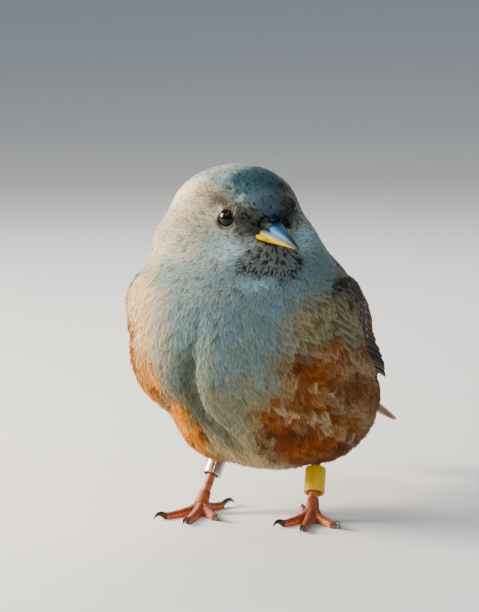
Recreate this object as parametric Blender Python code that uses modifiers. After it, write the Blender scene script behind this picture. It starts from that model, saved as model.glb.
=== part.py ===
"""Alpine accentor, a plump, ringed songbird standing with its plumage fluffed, life size.

Frame: metres, +Z up, floor at Z = 0. The body faces -Y, its left side is +X, and the tail points to +Y.
The feathered body is blended from overlapping ellipsoids, then parted with thin plane cuts. Every other
piece is a loft or a bevelled curve, and the pieces of plumage are carved back from it by a small gap.
"""

import math

import bmesh
import bpy
import numpy as np
from mathutils import Matrix, Vector
from mathutils.bvhtree import BVHTree

MM = 0.001

# --- driving sizes, in millimetres ------------------------------------------------------------------
GAP = 0.3  # clearance between neighbouring solids
BODY_VOXEL = 1.5
BODY_SMOOTHING = 18
BODY_SHARE = 0.083  # of the blend's triangles, kept
FOOT_VOXEL = 0.42
FOOT_SMOOTHING = 4
FOOT_SHARE = 0.12

HEAD_CENTRE = (3.2, -10.0, 79.5)
HEAD_TURN = 49.0  # degrees, from straight ahead towards the bird's left
HEAD_DIP = 6.5  # degrees, bill below level
HEAD_TILT = 7.5  # degrees, left eye above the right eye

BILL_BASE = 9.5  # forward of the head's centre, inside the face plumage
BILL_TIP = 25.0
BILL_DROP = 2.5  # bill's mouth line below the head's centre
BILL_WIDTH = 9.0
UPPER_HEIGHT = 4.0
LOWER_HEIGHT = 2.3

EYE_PLACE = (5.8, 1.9)  # forward and up from the head's centre
EYE_RADIUS = 3.1
EYE_PROUD = 0.6  # how far the ball stands out of the face plumage

FOOT_X, FOOT_Y = 14.8, 5.0
HEEL_X, HEEL_Y, HEEL_Z = 11.5, 19.0, 24.0
ANKLE_Z = 3.0
SHANK_RADIUS = 1.35
TOE_RADIUS = 1.2
# name: (direction in degrees outwards of the middle toe, length without claw, claw length)
TOES = {
    "inner": (-30.0, 11.5, 5.2),
    "middle": (0.0, 16.0, 6.0),
    "outer": (33.0, 12.5, 5.0),
    "hind": (200.0, 9.0, 7.4),
}
FOOT_TURN = {"left": 12.0, "right": -8.0}  # degrees, toes turned outwards

RING_BORE = 1.85
YELLOW_RING = {"outer": 2.8, "height": 6.6, "along": 0.30}
METAL_RING = {"outer": 2.35, "height": 5.4, "along": 0.40}

# Ellipsoids of the feathered body: centre, radii, pitch in degrees about X (front end up is positive).
TRUNK_BALLS = {
    "upper_breast": ((-0.5, -3, 55), (29.5, 26, 16), 0),
    "breast": ((0.5, -3, 46), (29, 27.5, 21), 0),
    "lower_breast": ((1, 0, 39), (26, 26.5, 19), 0),
    "belly": ((3.7, 8, 34), (25.5, 25.5, 22), 0),
    "side_right": ((-16.8, -2, 44), (12.5, 20.5, 17), 0),
    "flank_right": ((-8, 6, 30.5), (13.5, 20, 17), 0),
    "flank_left": ((15, 9, 33), (15, 22, 19), 0),
    "back": ((0, 14, 50), (24, 31, 19), 38),
    "rump": ((0, 36, 38), (16, 25, 10.5), 25),
    "vent": ((0, 34, 30.5), (14.5, 24, 9.5), 24),
}
NECK_BALLS = {
    "nape": ((-1.8, -4, 68.5), (21.8, 19, 14.5), 15),
    "hind_neck": ((0, 6, 65), (18, 17, 12.5), 25),
    "throat": ((0, -8, 64), (22.5, 18, 12), 0),
}
# The head's, in its own frame: forward, left, up.
HEAD_BALLS = {
    "cranium": ((-7.0, 0, -2.4), (16.2, 16.3, 12.0)),
    "face": ((5.5, 0, -3.0), (9.2, 10.8, 9.6)),
    "bill_base": ((11.0, 0, -1.6), (4.6, 6.0, 4.9)),
    "cheek_left": ((-4.0, 7.6, -6.5), (11.5, 8.4, 9.3)),
    "cheek_right": ((-4.0, -7.6, -6.5), (11.5, 8.4, 9.3)),
    "chin": ((3.5, 0, -8.5), (9.0, 9.0, 7.4)),
}
# The crease down the right breast: its distance from the middle, its ends' heights, depth and half width.
CREASE = {"x": -7.2, "low": 22.0, "high": 53.0, "depth": 3.4, "half_width": 3.0}
HEAD_CUT = ((0, -6, 67.5), (0.10, -0.20, 1.0))  # point and upward normal of the cut under the head
NECK_CUT = ((0, -3, 59.5), (0.0, -0.42, 1.0))

# Folded wing, seen from its side: (y, z) of its midline, half height, stand-off from the body and the
# least distance of its outer face from the bird's middle.
WING_STATIONS = (
    (-12.0, 56.5, 3.0, 0.3, 8.5),
    (-8.0, 56.0, 7.0, 0.6, 8.5),
    (0.0, 53.0, 10.0, 0.7, 8.5),
    (10.0, 49.0, 12.0, 0.7, 18.5),
    (22.0, 43.8, 12.0, 0.8, 18.5),
    (36.0, 38.0, 9.8, 1.2, 17.0),
    (48.0, 33.5, 7.2, 1.2, 15.2),
    (56.0, 30.5, 5.0, 0.8, 12.0),
    (64.0, 28.0, 3.2, 0.4, 9.0),
    (72.0, 25.8, 1.6, 0.2, 8.0),
)
WING_THICKNESS = 3.4
TAIL_ROOT = (0, 37, 36.5)
TAIL_TIP = (0, 84.5, 15.0)
TAIL_HALF_WIDTHS = (5.6, 6.2, 6.8, 7.4, 7.6)
TAIL_THICKNESS = (3.4, 2.6, 2.0, 1.5, 1.1)
TAIL_NOTCH = 2.2
TAIL_ROOF = 1.3  # how far the middle feathers lie above the outer ones

PLUMAGE = ((0.32, 0.35, 0.35, 1), 0.9)
WING_BROWN = ((0.14, 0.08, 0.05, 1), 0.8)
HORN_DARK = ((0.03, 0.04, 0.05, 1), 0.35)
HORN_YELLOW = ((0.8, 0.6, 0.08, 1), 0.35)
EYE_DARK = ((0.02, 0.01, 0.008, 1), 0.05)
LEG_ORANGE = ((0.5, 0.16, 0.07, 1), 0.5)
RING_YELLOW = ((0.8, 0.58, 0.03, 1), 0.4)
RING_METAL = ((0.7, 0.74, 0.78, 1), 0.35)


# --- scene, materials and small helpers -------------------------------------------------------------
def clear_scene():
    for thing in list(bpy.data.objects):
        bpy.data.objects.remove(thing)


def collection(name):
    made = bpy.data.collections.new(name)
    bpy.context.scene.collection.children.link(made)
    return made


def material(name, finish, metallic=0.0):
    colour, roughness = finish
    made = bpy.data.materials.new(name)
    made.use_nodes = True
    shader = made.node_tree.nodes["Principled BSDF"]
    shader.inputs["Base Color"].default_value = colour
    shader.inputs["Roughness"].default_value = roughness
    shader.inputs["Metallic"].default_value = metallic
    return made


def link(name, mesh, where, look=None):
    made = bpy.data.objects.new(name, mesh)
    where.objects.link(made)
    if look is not None:
        made.data.materials.append(look)
    return made


def as_helper(thing):
    thing.hide_render = True
    thing.display_type = "WIRE"
    return thing


def evaluated_mesh(thing):
    """A new mesh of the object with its modifiers applied, in world space."""
    bpy.context.view_layer.update()
    graph = bpy.context.evaluated_depsgraph_get()
    mesh = bpy.data.meshes.new_from_object(thing.evaluated_get(graph), depsgraph=graph)
    mesh.transform(thing.matrix_world)
    return mesh


def baked(thing, name, where, look):
    """Replaces a construction object by a plain mesh object of the same shape."""
    mesh = evaluated_mesh(thing)
    mesh.name = name
    bpy.data.objects.remove(thing)
    mesh.materials.clear()
    return link(name, mesh, where, look)


def smooth(thing, angle=50.0):
    thing.data.shade_smooth()
    thing.data.set_sharp_from_angle(angle=math.radians(angle))


def sign_of(side):
    return 1 if side == "left" else -1


def spline(points, count):
    """Points on a Catmull-Rom curve through the given rows of numbers."""
    rows = np.array(points, float)
    padded = np.vstack([2 * rows[0] - rows[1], rows, 2 * rows[-1] - rows[-2]])
    made = []
    for share in np.linspace(0, len(rows) - 1, count):
        i = min(int(share), len(rows) - 2)
        t = share - i
        a, b, c, d = padded[i : i + 4]
        made.append(
            0.5 * (2 * b + (c - a) * t + (2 * a - 5 * b + 4 * c - d) * t**2 + (3 * b - a - 3 * c + d) * t**3)
        )
    return np.array(made)


def loft(name, rings, where, look):
    """A closed mesh through rings of equally many points, with its two ends closed by fans."""
    shape = bmesh.new()
    rows = [[shape.verts.new(Vector(p) * MM) for p in ring] for ring in rings]
    count = len(rows[0])
    for near, far in zip(rows, rows[1:]):
        for i in range(count):
            j = (i + 1) % count
            shape.faces.new((near[i], near[j], far[j], far[i]))
    for row, ring in ((rows[0], rings[0]), (rows[-1], rings[-1])):
        middle = shape.verts.new(Vector(np.mean(ring, axis=0)) * MM)
        for i in range(count):
            shape.faces.new((row[i], row[(i + 1) % count], middle))
    bmesh.ops.recalc_face_normals(shape, faces=shape.faces)
    mesh = bpy.data.meshes.new(name)
    shape.to_mesh(mesh)
    shape.free()
    return link(name, mesh, where, look)


def tube(name, centres, radii, where, look, sides=10):
    """A tapering round bar along a line of points, as a bevelled poly curve turned into a mesh."""
    curve = bpy.data.curves.new(name, "CURVE")
    curve.dimensions = "3D"
    curve.bevel_depth = MM
    curve.bevel_resolution = (sides - 4) // 2
    curve.use_fill_caps = True
    line = curve.splines.new("POLY")
    line.points.add(len(centres) - 1)
    for point, centre, radius in zip(line.points, centres, radii):
        point.co = (*(Vector(centre) * MM), 1)
        point.radius = radius
    guide = link(name + "_line", curve, where)
    mesh = evaluated_mesh(guide)
    bpy.data.objects.remove(guide)
    shape = bmesh.new()
    shape.from_mesh(mesh)
    bmesh.ops.remove_doubles(shape, verts=shape.verts, dist=0.02 * MM)
    bmesh.ops.recalc_face_normals(shape, faces=shape.faces)
    shape.to_mesh(mesh)
    shape.free()
    return link(name, mesh, where, look)


def bisected(thing, point, normal, keep_above):
    """Cuts the mesh by a plane, half a gap away from it, and closes the cut."""
    side = 1 if keep_above else -1
    direction = Vector(normal).normalized()
    at = (Vector(point) + direction * side * GAP / 2) * MM
    shape = bmesh.new()
    shape.from_mesh(thing.data)
    bmesh.ops.bisect_plane(
        shape,
        geom=shape.verts[:] + shape.edges[:] + shape.faces[:],
        dist=1e-7,
        plane_co=at,
        plane_no=direction * side,
        clear_inner=True,
    )
    rim = [edge for edge in shape.edges if edge.is_boundary]
    bmesh.ops.edgeloop_fill(shape, edges=rim)
    bmesh.ops.triangulate(shape, faces=shape.faces)
    bmesh.ops.recalc_face_normals(shape, faces=shape.faces)
    shape.to_mesh(thing.data)
    shape.free()
    return thing


def carve(thing, neighbours, cutters):
    """Cuts the neighbours, each swollen by the gap, out of the object."""
    for neighbour in neighbours:
        cutter = as_helper(link(f"cut_{thing.name}_{neighbour.name}", neighbour.data.copy(), cutters))
        swell = cutter.modifiers.new("swell", "DISPLACE")
        swell.strength = GAP * MM
        swell.mid_level = 0
        cut = thing.modifiers.new(f"gap_{neighbour.name}", "BOOLEAN")
        cut.object = cutter
        cut.operation = "DIFFERENCE"


def blended(name, balls, voxel, smoothing, ratio, where, look):
    """One smooth skin round overlapping closed shapes, thinned to the given share of its triangles."""
    shape = bmesh.new()
    for ball in balls:
        mesh = evaluated_mesh(ball)
        shape.from_mesh(mesh)
        bpy.data.objects.remove(ball)
    mesh = bpy.data.meshes.new(name)
    shape.to_mesh(mesh)
    shape.free()
    rough = link(name + "_rough", mesh, where)
    remesh = rough.modifiers.new("blend", "REMESH")
    remesh.mode = "VOXEL"
    remesh.voxel_size = voxel * MM
    relax = rough.modifiers.new("relax", "SMOOTH")
    relax.factor = 0.5
    relax.iterations = smoothing
    thin = rough.modifiers.new("thin", "DECIMATE")
    thin.ratio = ratio
    return baked(rough, name, where, look)


def ellipsoid(name, centre, radii, where, turn=None):
    bpy.ops.mesh.primitive_uv_sphere_add(segments=32, ring_count=20, radius=MM)
    ball = bpy.context.active_object
    ball.name = name
    for owner in list(ball.users_collection):
        owner.objects.unlink(ball)
    where.objects.link(ball)
    turn = turn or Matrix.Identity(4)
    ball.matrix_world = Matrix.Translation(Vector(centre) * MM) @ turn @ Matrix.Diagonal((*radii, 1))
    return ball


# --- the head's own frame -----------------------------------------------------------------------------
def head_axes():
    """Forward, left and up of the head as unit vectors."""
    turn = Matrix.Rotation(math.radians(HEAD_TURN), 3, "Z")
    forward, left = turn @ Vector((0, -1, 0)), turn @ Vector((1, 0, 0))
    dip = Matrix.Rotation(math.radians(HEAD_DIP), 3, left)
    forward = dip @ forward
    tilt = Matrix.Rotation(math.radians(HEAD_TILT), 3, forward)
    left = tilt @ left
    up = forward.cross(left)
    return forward, left, up


HEAD_FORWARD, HEAD_LEFT, HEAD_UP = head_axes()


def in_head(forward, left, up):
    return Vector(HEAD_CENTRE) + HEAD_FORWARD * forward + HEAD_LEFT * left + HEAD_UP * up


def head_matrix():
    return Matrix((HEAD_FORWARD, HEAD_LEFT, HEAD_UP)).transposed().to_4x4()


# --- feathered body -------------------------------------------------------------------------------------
def feathered_body(parts, look):
    balls = []
    for name, (centre, radii, pitch) in {**TRUNK_BALLS, **NECK_BALLS}.items():
        turn = Matrix.Rotation(math.radians(-pitch), 4, "X")
        balls.append(ellipsoid(name, centre, radii, parts, turn))
    for name, (place, radii) in HEAD_BALLS.items():
        balls.append(ellipsoid(name, in_head(*place), radii, parts, head_matrix()))
    body = blended("body", balls, BODY_VOXEL, BODY_SMOOTHING, BODY_SHARE, parts, look)
    crease_breast(body.data)
    return body


def crease_breast(mesh):
    """Presses in the furrow where the right side's fluffed feathers meet those of the breast."""
    middle, reach = (CREASE["low"] + CREASE["high"]) / 2, (CREASE["high"] - CREASE["low"]) / 2
    normals = [vertex.normal.copy() for vertex in mesh.vertices]
    for vertex, normal in zip(mesh.vertices, normals):
        x, y, z = vertex.co / MM
        if y > 0:
            continue
        across = math.exp(-(((x - CREASE["x"]) / CREASE["half_width"]) ** 2))
        along = max(0.0, 1 - ((z - middle) / reach) ** 2)
        vertex.co -= normal * CREASE["depth"] * across * along * MM


def part_body(body, parts, look):
    """Head, neck and trunk, from one body and two thin cuts."""
    pieces = {name: link(name, body.data.copy(), parts) for name in ("head", "neck", "trunk")}
    bisected(pieces["head"], *HEAD_CUT, keep_above=True)
    bisected(pieces["neck"], *HEAD_CUT, keep_above=False)
    bisected(pieces["neck"], *NECK_CUT, keep_above=True)
    bisected(pieces["trunk"], *NECK_CUT, keep_above=False)
    bpy.data.objects.remove(body)
    return pieces


# --- wings and tail ---------------------------------------------------------------------------------------
def wing(side, body_tree, parts, look):
    """A folded wing: a lens-shaped blade that hugs the body's side and runs on past the rump."""
    sign = sign_of(side)
    stations = spline(WING_STATIONS, 15)
    rings = []
    across = np.linspace(-1, 1, 9)
    for i, (y, z, half, proud, least) in enumerate(stations):
        ahead = stations[min(i + 1, len(stations) - 1)] - stations[max(i - 1, 0)]
        along = Vector((0, ahead[0], ahead[1])).normalized()
        over = Vector((0, -along.z, along.y))
        share = i / (len(stations) - 1)
        outer, inner = [], []
        for v in across:
            place = Vector((0, y, z)) + over * half * v
            start = Vector((60 * sign, place.y, place.z)) * MM
            hit = body_tree.ray_cast(start, Vector((-sign, 0, 0)))[0]
            reach = abs(hit.x) / MM if hit is not None else 0.0
            reach = max(reach + proud, least)
            thick = WING_THICKNESS * (1 - 0.55 * share) * math.sqrt(max(0.0, 1 - 0.92 * v * v))
            outer.append((sign * reach, place.y, place.z))
            inner.append((sign * (reach - thick), place.y, place.z))
        rings.append(outer + inner[::-1])
    return loft(f"wing_{side}", rings, parts, look)


def tail(parts, look):
    """Twelve closed feathers as one blade, lightly roofed, with a shallow notch at its tip."""
    root, tip = Vector(TAIL_ROOT), Vector(TAIL_TIP)
    along = (tip - root).normalized()
    over = Vector((1, 0, 0)).cross(along)
    sizes = spline(list(zip(TAIL_HALF_WIDTHS, TAIL_THICKNESS)), 9)
    across = np.linspace(-1, 1, 9)
    rings = []
    for share, (half, thick) in zip(np.linspace(0, 1, len(sizes)), sizes):
        top, bottom = [], []
        for v in across:
            notch = TAIL_NOTCH * share**4 * (1 - abs(v)) * -1 + 0.8 * share**4 * -(abs(v) ** 6)
            place = root + (tip - root) * share + along * notch
            place.x = half * v
            rise = over * TAIL_ROOF * (1 - v * v)
            edge = thick / 2 * (1 - 0.55 * abs(v) ** 3)
            top.append(place + rise + over * edge)
            bottom.append(place + rise - over * edge)
        rings.append(top + bottom[::-1])
    return loft("tail", rings, parts, look)


# --- head's hard pieces -----------------------------------------------------------------------------------
def bill_ring(share, half_width, height, sign):
    """Half an ellipse with a flat mouth face, at a share of the bill's length."""
    forward = BILL_BASE + (BILL_TIP - BILL_BASE) * share
    droop = BILL_DROP + 1.7 * share**2.2
    low = -droop + sign * GAP / 2
    ring = []
    for angle in np.linspace(0, math.pi, 9):
        ridge = math.sin(angle) ** (1.05 if sign > 0 else 0.7)
        ring.append(in_head(forward, half_width * math.cos(angle), low + sign * height * ridge))
    return ring


def bill(parts, dark, yellow):
    halves = []
    for name, base_height, sign, reach, look in (
        ("bill_upper", UPPER_HEIGHT, 1, 1.0, dark),
        ("bill_lower", LOWER_HEIGHT, -1, 0.965, yellow),
    ):
        rings = []
        for share in np.linspace(0, 1, 11):
            taper = 1 - share**1.1
            half_width = BILL_WIDTH / 2 * (0.94 * taper + 0.04)
            height = base_height * ((1 - share**1.9) * 0.92 + 0.07)
            rings.append(bill_ring(share * reach, half_width, height, sign))
        halves.append(loft(name, rings, parts, look))
    return halves


def eye(side, body_tree, parts, look):
    """A ball that looks out of the side of the face, set by the plumage's surface there."""
    forward, up = EYE_PLACE
    sign = sign_of(side)
    surface, normal = body_tree.ray_cast(in_head(forward, sign * 40, up) * MM, HEAD_LEFT * -sign)[:2]
    bpy.ops.mesh.primitive_ico_sphere_add(subdivisions=3, radius=EYE_RADIUS * MM)
    ball = bpy.context.active_object
    centre = surface + normal * (EYE_PROUD - EYE_RADIUS) * MM
    ball.matrix_world = Matrix.Translation(centre)
    return baked(ball, f"eye_{side}", parts, look)


# --- legs ---------------------------------------------------------------------------------------------------
def ankle(side):
    return Vector((sign_of(side) * FOOT_X, FOOT_Y, ANKLE_Z))


def heel(side):
    return Vector((sign_of(side) * HEEL_X, HEEL_Y, HEEL_Z))


def on_shank(side, share):
    return ankle(side).lerp(heel(side), share)


def shank(side, parts, look):
    """The bare lower leg, from above the toes up into the belly plumage."""
    shares = np.linspace(0.115, 0.88, 6)
    centres = [on_shank(side, share) for share in shares]
    radii = [SHANK_RADIUS * (1.0 + 0.12 * (share > 0.8)) for share in shares]
    return tube(f"shank_{side}", centres, radii, parts, look, sides=12)


def toe_direction(side, toe):
    angle = math.radians(FOOT_TURN[side] + TOES[toe][0])
    return Vector((sign_of(side) * math.sin(angle), -math.cos(angle), 0))


def toe_lines(side, toe):
    """Centres and radii of a toe and of its claw. The toe arches off the ankle and lies on its pads."""
    along = toe_direction(side, toe)
    _, length, claw_length = TOES[toe]
    root = Vector((sign_of(side) * FOOT_X, FOOT_Y, 0))
    lift = TOE_RADIUS * 0.62
    start_height = ANKLE_Z - 0.6
    toe_centres, toe_radii = [], []
    for share in np.linspace(0, 1, 11):
        knuckle = 0.5 - 0.5 * math.cos(2 * math.pi * 3 * share)
        height = lift + (start_height - lift) * (1 - share) ** 3.2 + 0.30 * knuckle * (1 - share)
        toe_centres.append(root + along * length * share + Vector((0, 0, height)))
        toe_radii.append(TOE_RADIUS * (1.08 - 0.22 * share - 0.10 * knuckle))
    claw_centres, claw_radii = [], []
    for share in np.linspace(0, 1, 7):
        bend = math.radians(62) * share
        reach = claw_length / math.radians(62)
        forward = length + GAP + reach * math.sin(bend) * 0.98
        height = lift + 0.10 + 0.9 * math.sin(math.pi * share) - (lift - 0.15) * share**2
        claw_centres.append(root + along * forward + Vector((0, 0, height)))
        claw_radii.append(max(0.24, 0.82 * (1 - share) ** 0.8))
    return toe_centres, toe_radii, claw_centres, claw_radii


def foot(side, parts, leg_look, claw_look):
    """The toes and their root blended into one piece that rests on small flats, and its four claws."""
    shapes = [ellipsoid(f"pad_{side}", (*ankle(side).to_2d(), 1.9), (2.1, 2.3, 2.0), parts)]
    stem = [on_shank(side, share) for share in (-0.04, 0.03, 0.10)]
    shapes.append(tube(f"stem_{side}", stem, (1.9, 1.75, 1.6), parts, None, sides=12))
    claws = []
    for toe in TOES:
        toe_centres, toe_radii, claw_centres, claw_radii = toe_lines(side, toe)
        shapes.append(tube(f"toe_{side}_{toe}", toe_centres, toe_radii, parts, None))
        claws.append(tube(f"claw_{side}_{toe}", claw_centres, claw_radii, parts, claw_look, sides=6))
    made = blended(f"foot_{side}", shapes, FOOT_VOXEL, FOOT_SMOOTHING, FOOT_SHARE, parts, leg_look)
    floor = (0, 0, -GAP / 2)  # the cut itself lands half a gap higher, at Z = 0
    bisected(made, floor, (0, 0, 1), keep_above=True)
    return made, claws


def leg_ring(name, side, sizes, parts, look):
    """A band round the shank: a turned rectangle of its wall, by a Screw modifier."""
    half = sizes["height"] / 2
    profile = [(sizes["outer"], half), (sizes["outer"], -half), (RING_BORE, -half), (RING_BORE, half)]
    mesh = bpy.data.meshes.new(name)
    points = [(x * MM, 0, z * MM) for x, z in profile]
    mesh.from_pydata(points, [(0, 1), (1, 2), (2, 3), (3, 0)], [])
    band = link(name + "_band", mesh, parts)
    turn = band.modifiers.new("turn", "SCREW")
    turn.steps = turn.render_steps = 20
    turn.use_merge_vertices = True
    turn.merge_threshold = 0.00001
    up = (heel(side) - ankle(side)).normalized()
    place = Matrix.Translation(on_shank(side, sizes["along"]) * MM)
    band.matrix_world = place @ up.to_track_quat("Z", "Y").to_matrix().to_4x4()
    made = baked(band, name, parts, look)
    shape = bmesh.new()
    shape.from_mesh(made.data)
    bmesh.ops.recalc_face_normals(shape, faces=shape.faces)
    shape.to_mesh(made.data)
    shape.free()
    return made


def centre(parts, things):
    """Moves everything so that the finished bird's box is centred over the origin."""
    corners = []
    for piece in parts.objects:
        corners += [vertex.co.to_2d() for vertex in evaluated_mesh(piece).vertices]
    middle = (np.min(corners, axis=0) + np.max(corners, axis=0)) / 2
    for thing in things:
        thing.data.transform(Matrix.Translation((-middle[0], -middle[1], 0)))


def main():
    clear_scene()
    parts, cutters = collection("alpine_accentor"), collection("cutters")
    plumage = material("plumage", PLUMAGE)
    flight = material("flight_feathers", WING_BROWN)
    dark_horn = material("dark_horn", HORN_DARK)
    yellow_horn = material("yellow_horn", HORN_YELLOW)
    eye_look = material("eye", EYE_DARK)
    leg_look = material("leg_skin", LEG_ORANGE)
    yellow_look = material("yellow_ring", RING_YELLOW)
    metal_look = material("metal_ring", RING_METAL, metallic=1.0)

    body = feathered_body(parts, plumage)
    shape = bmesh.new()
    shape.from_mesh(body.data)
    body_tree = BVHTree.FromBMesh(shape)
    shape.free()
    wings = [wing(side, body_tree, parts, flight) for side in ("left", "right")]
    pieces = part_body(body, parts, plumage)
    tail_blade = tail(parts, flight)
    bill_halves = bill(parts, dark_horn, yellow_horn)
    eyes = [eye(side, body_tree, parts, eye_look) for side in ("left", "right")]
    shanks, feet = [], []
    for side in ("left", "right"):
        shanks.append(shank(side, parts, leg_look))
        made, claws = foot(side, parts, leg_look, dark_horn)
        carve(made, [*claws, shanks[-1]], cutters)
        feet.append(made)
    rings = [
        leg_ring("ring_yellow", "left", YELLOW_RING, parts, yellow_look),
        leg_ring("ring_metal", "right", METAL_RING, parts, metal_look),
    ]

    carve(pieces["head"], [*bill_halves, *eyes], cutters)
    carve(pieces["neck"], wings, cutters)
    carve(pieces["trunk"], [*wings, tail_blade, *shanks, *rings], cutters)
    for wing_blade in wings:
        carve(wing_blade, [tail_blade], cutters)
    for piece in parts.objects:
        smooth(piece)
    centre(parts, [*parts.objects, *cutters.objects])


main()
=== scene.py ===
"""Looks of the Alpine accentor: skin, plumage, flight feathers, eyes, bill, legs and rings.

Lengths are millimetres in the bird's own frame: it faces -Y, its left side is +X, and the origin is on the
floor below the body. placed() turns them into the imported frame's metres. The head has a frame of its own,
whose three numbers are forward, left and up. A body feather is a small vane under a fan of thin barbs.
It is traced along the coat's outer surface, from a deep root to a tip that lies on those behind it.
"""

import math

import bmesh
import bpy
import numpy as np
from mathutils import Matrix, Vector
from mathutils.bvhtree import BVHTree


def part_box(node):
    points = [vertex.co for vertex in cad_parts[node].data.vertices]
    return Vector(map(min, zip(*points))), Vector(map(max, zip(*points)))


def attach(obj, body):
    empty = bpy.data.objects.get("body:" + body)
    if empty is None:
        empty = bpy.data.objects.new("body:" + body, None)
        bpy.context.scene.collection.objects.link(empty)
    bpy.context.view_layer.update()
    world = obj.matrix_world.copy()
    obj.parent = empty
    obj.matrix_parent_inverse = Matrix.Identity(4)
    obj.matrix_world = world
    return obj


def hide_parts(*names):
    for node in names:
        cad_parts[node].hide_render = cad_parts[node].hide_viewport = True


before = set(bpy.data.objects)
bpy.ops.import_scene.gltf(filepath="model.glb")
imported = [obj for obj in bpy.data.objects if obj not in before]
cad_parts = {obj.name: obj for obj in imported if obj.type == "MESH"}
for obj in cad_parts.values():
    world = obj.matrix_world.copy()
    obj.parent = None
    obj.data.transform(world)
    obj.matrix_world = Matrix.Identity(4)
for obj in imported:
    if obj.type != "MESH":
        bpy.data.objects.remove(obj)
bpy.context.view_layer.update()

MM = 0.001
METAL_RING_CENTRE = np.array((-13.48, 10.6, 11.4))  # in the bird's own frame
BIRD = np.sum(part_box("ring_metal"), axis=0) / 2 / MM - METAL_RING_CENTRE  # that frame's origin, as packed
SEED = 11
UP = np.array((0.0, 0.0, 1.0))
SIGN = {"left": 1, "right": -1}


# --- the head's frame, as in the solids ---
HEAD_CENTRE = np.array((3.2, -10.0, 79.5))
HEAD_TURN, HEAD_DIP, HEAD_TILT = 49.0, 6.5, 7.5
BILL_BASE, BILL_TIP, BILL_DROP, BILL_WIDTH = 9.5, 25.0, 2.5, 9.0
UPPER_HEIGHT, LOWER_HEIGHT = 4.0, 2.3
EYE_RADIUS = 3.1
NECK_PLANE = (np.array((0.0, -6.0, 67.5)), np.array((0.097, -0.195, 0.976)))  # where the head ends


# --- small mathematics ---
def dot(a, b):
    return (a * b).sum(-1)


def unit(rows):
    return rows / np.maximum(np.linalg.norm(rows, axis=-1, keepdims=True), 1e-9)


def ramp(x, low, high):
    """0 below low, 1 above high, and a smooth step between them."""
    share = np.clip((x - low) / (high - low), 0, 1)
    return share * share * (3 - 2 * share)


def bump_of(x, middle, reach):
    """1 at the middle, and a bell-shaped fall to 0 on both sides of it."""
    return np.exp(-(((x - middle) / reach) ** 2))


def mix(a, b, share):
    """Colours or vectors a and b mixed by a share for each row."""
    share = np.asarray(share)[..., None]
    return a * (1 - share) + b * share


def srgb(red, green, blue):
    """A screen colour, 0 to 255, as linear light."""
    value = np.array((red, green, blue)) / 255
    return np.where(value <= 0.04045, value / 12.92, ((value + 0.055) / 1.055) ** 2.4)


def waves(points, length, seed):
    """A smooth random number from -1 to 1 at each point, which changes over about the given length."""
    draw = np.random.default_rng(seed)
    total = np.zeros(len(points))
    for _ in range(7):
        direction = unit(draw.normal(size=3)) * 2 * math.pi / (length * draw.uniform(0.7, 1.6))
        total += np.sin(points @ direction + draw.uniform(0, 2 * math.pi))
    return np.clip(total / 3.2, -1, 1)


def distance(points, place):
    return np.linalg.norm(points - place, axis=1)


def off_line(points, start, stop):
    """How far each point lies from the line between two others."""
    start, run = np.array(start), np.array(stop) - start
    share = np.clip((points - start) @ run / (run @ run), 0, 1)
    return distance(points, start + share[:, None] * run)


def turns(count):
    """Equal steps of one whole turn, in radians."""
    return np.arange(count) / count * 2 * math.pi


def crossed(rows, columns):
    """Two grids that hold, at each place, the value of its row and the value of its column."""
    return np.meshgrid(rows, columns, indexing="ij")


def placed(points):
    """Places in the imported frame, in metres."""
    return (np.asarray(points) + BIRD) * MM


def head_axes():
    """The head's forward, left and up, turned, dipped and tilted as in the solids."""
    turn = Matrix.Rotation(math.radians(HEAD_TURN), 3, "Z")
    forward, left = turn @ Vector((0, -1, 0)), turn @ Vector((1, 0, 0))
    forward = Matrix.Rotation(math.radians(HEAD_DIP), 3, left) @ forward
    left = Matrix.Rotation(math.radians(HEAD_TILT), 3, forward) @ left
    return np.array((forward, left, forward.cross(left)))


HEAD_AXES = head_axes()
FORWARD, LEFT, CROWN = HEAD_AXES


def in_head(points):
    """Forward, left and up of points, seen from the head."""
    return (points - HEAD_CENTRE) @ HEAD_AXES.T


def from_head(places):
    return np.asarray(places, float) @ HEAD_AXES + HEAD_CENTRE


def node_centre(node):
    low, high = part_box(node)
    return np.add(low, high) / 2 / MM - BIRD


EYES = {side: node_centre(f"eye_{side}") for side in SIGN}
BILL_ROOT = from_head((BILL_BASE + 1.5, 0, -BILL_DROP))


def bill_and_eye(points):
    """How far each point lies from the bill's root, and from the middle of the nearer eye."""
    return distance(points, BILL_ROOT), np.min([distance(points, eye) for eye in EYES.values()], axis=0)


# --- meshes ---
def tinted(mesh, tint):
    """Gives the mesh a colour for each point."""
    rows = np.ones((len(tint), 4), np.float32)
    rows[:, :3] = np.clip(tint, 0, 1)
    mesh.color_attributes.new("tint", "FLOAT_COLOR", "POINT").data.foreach_set("color", rows.ravel())


def mesh_of(name, points, faces, tint=None, patches=None, facing=None):
    """A smooth mesh from rows of points and faces, with a colour for each point.

    patches gives each point's place on the map that the finish is baked through, and facing the way that
    it is lit from: a feather is lit as the body's surface below it, which makes the coat look soft."""
    mesh = bpy.data.meshes.new(name)
    mesh.vertices.add(len(points))
    mesh.vertices.foreach_set("co", placed(points).astype(np.float32).ravel())
    mesh.loops.add(faces.size)
    mesh.loops.foreach_set("vertex_index", faces.astype(np.int32).ravel())
    mesh.polygons.add(len(faces))
    mesh.polygons.foreach_set("loop_start", np.arange(0, faces.size, faces.shape[1], dtype=np.int32))
    mesh.update(calc_edges=True)
    mesh.shade_smooth()
    if tint is not None:
        tinted(mesh, tint)
    if facing is not None:
        mesh.normals_split_custom_set_from_vertices(facing.tolist())
    if patches is not None:
        layer = mesh.uv_layers.new(name="OFBake")
        layer.uv.foreach_set("vector", patches[faces.ravel()].astype(np.float32).ravel())
    return mesh


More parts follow.
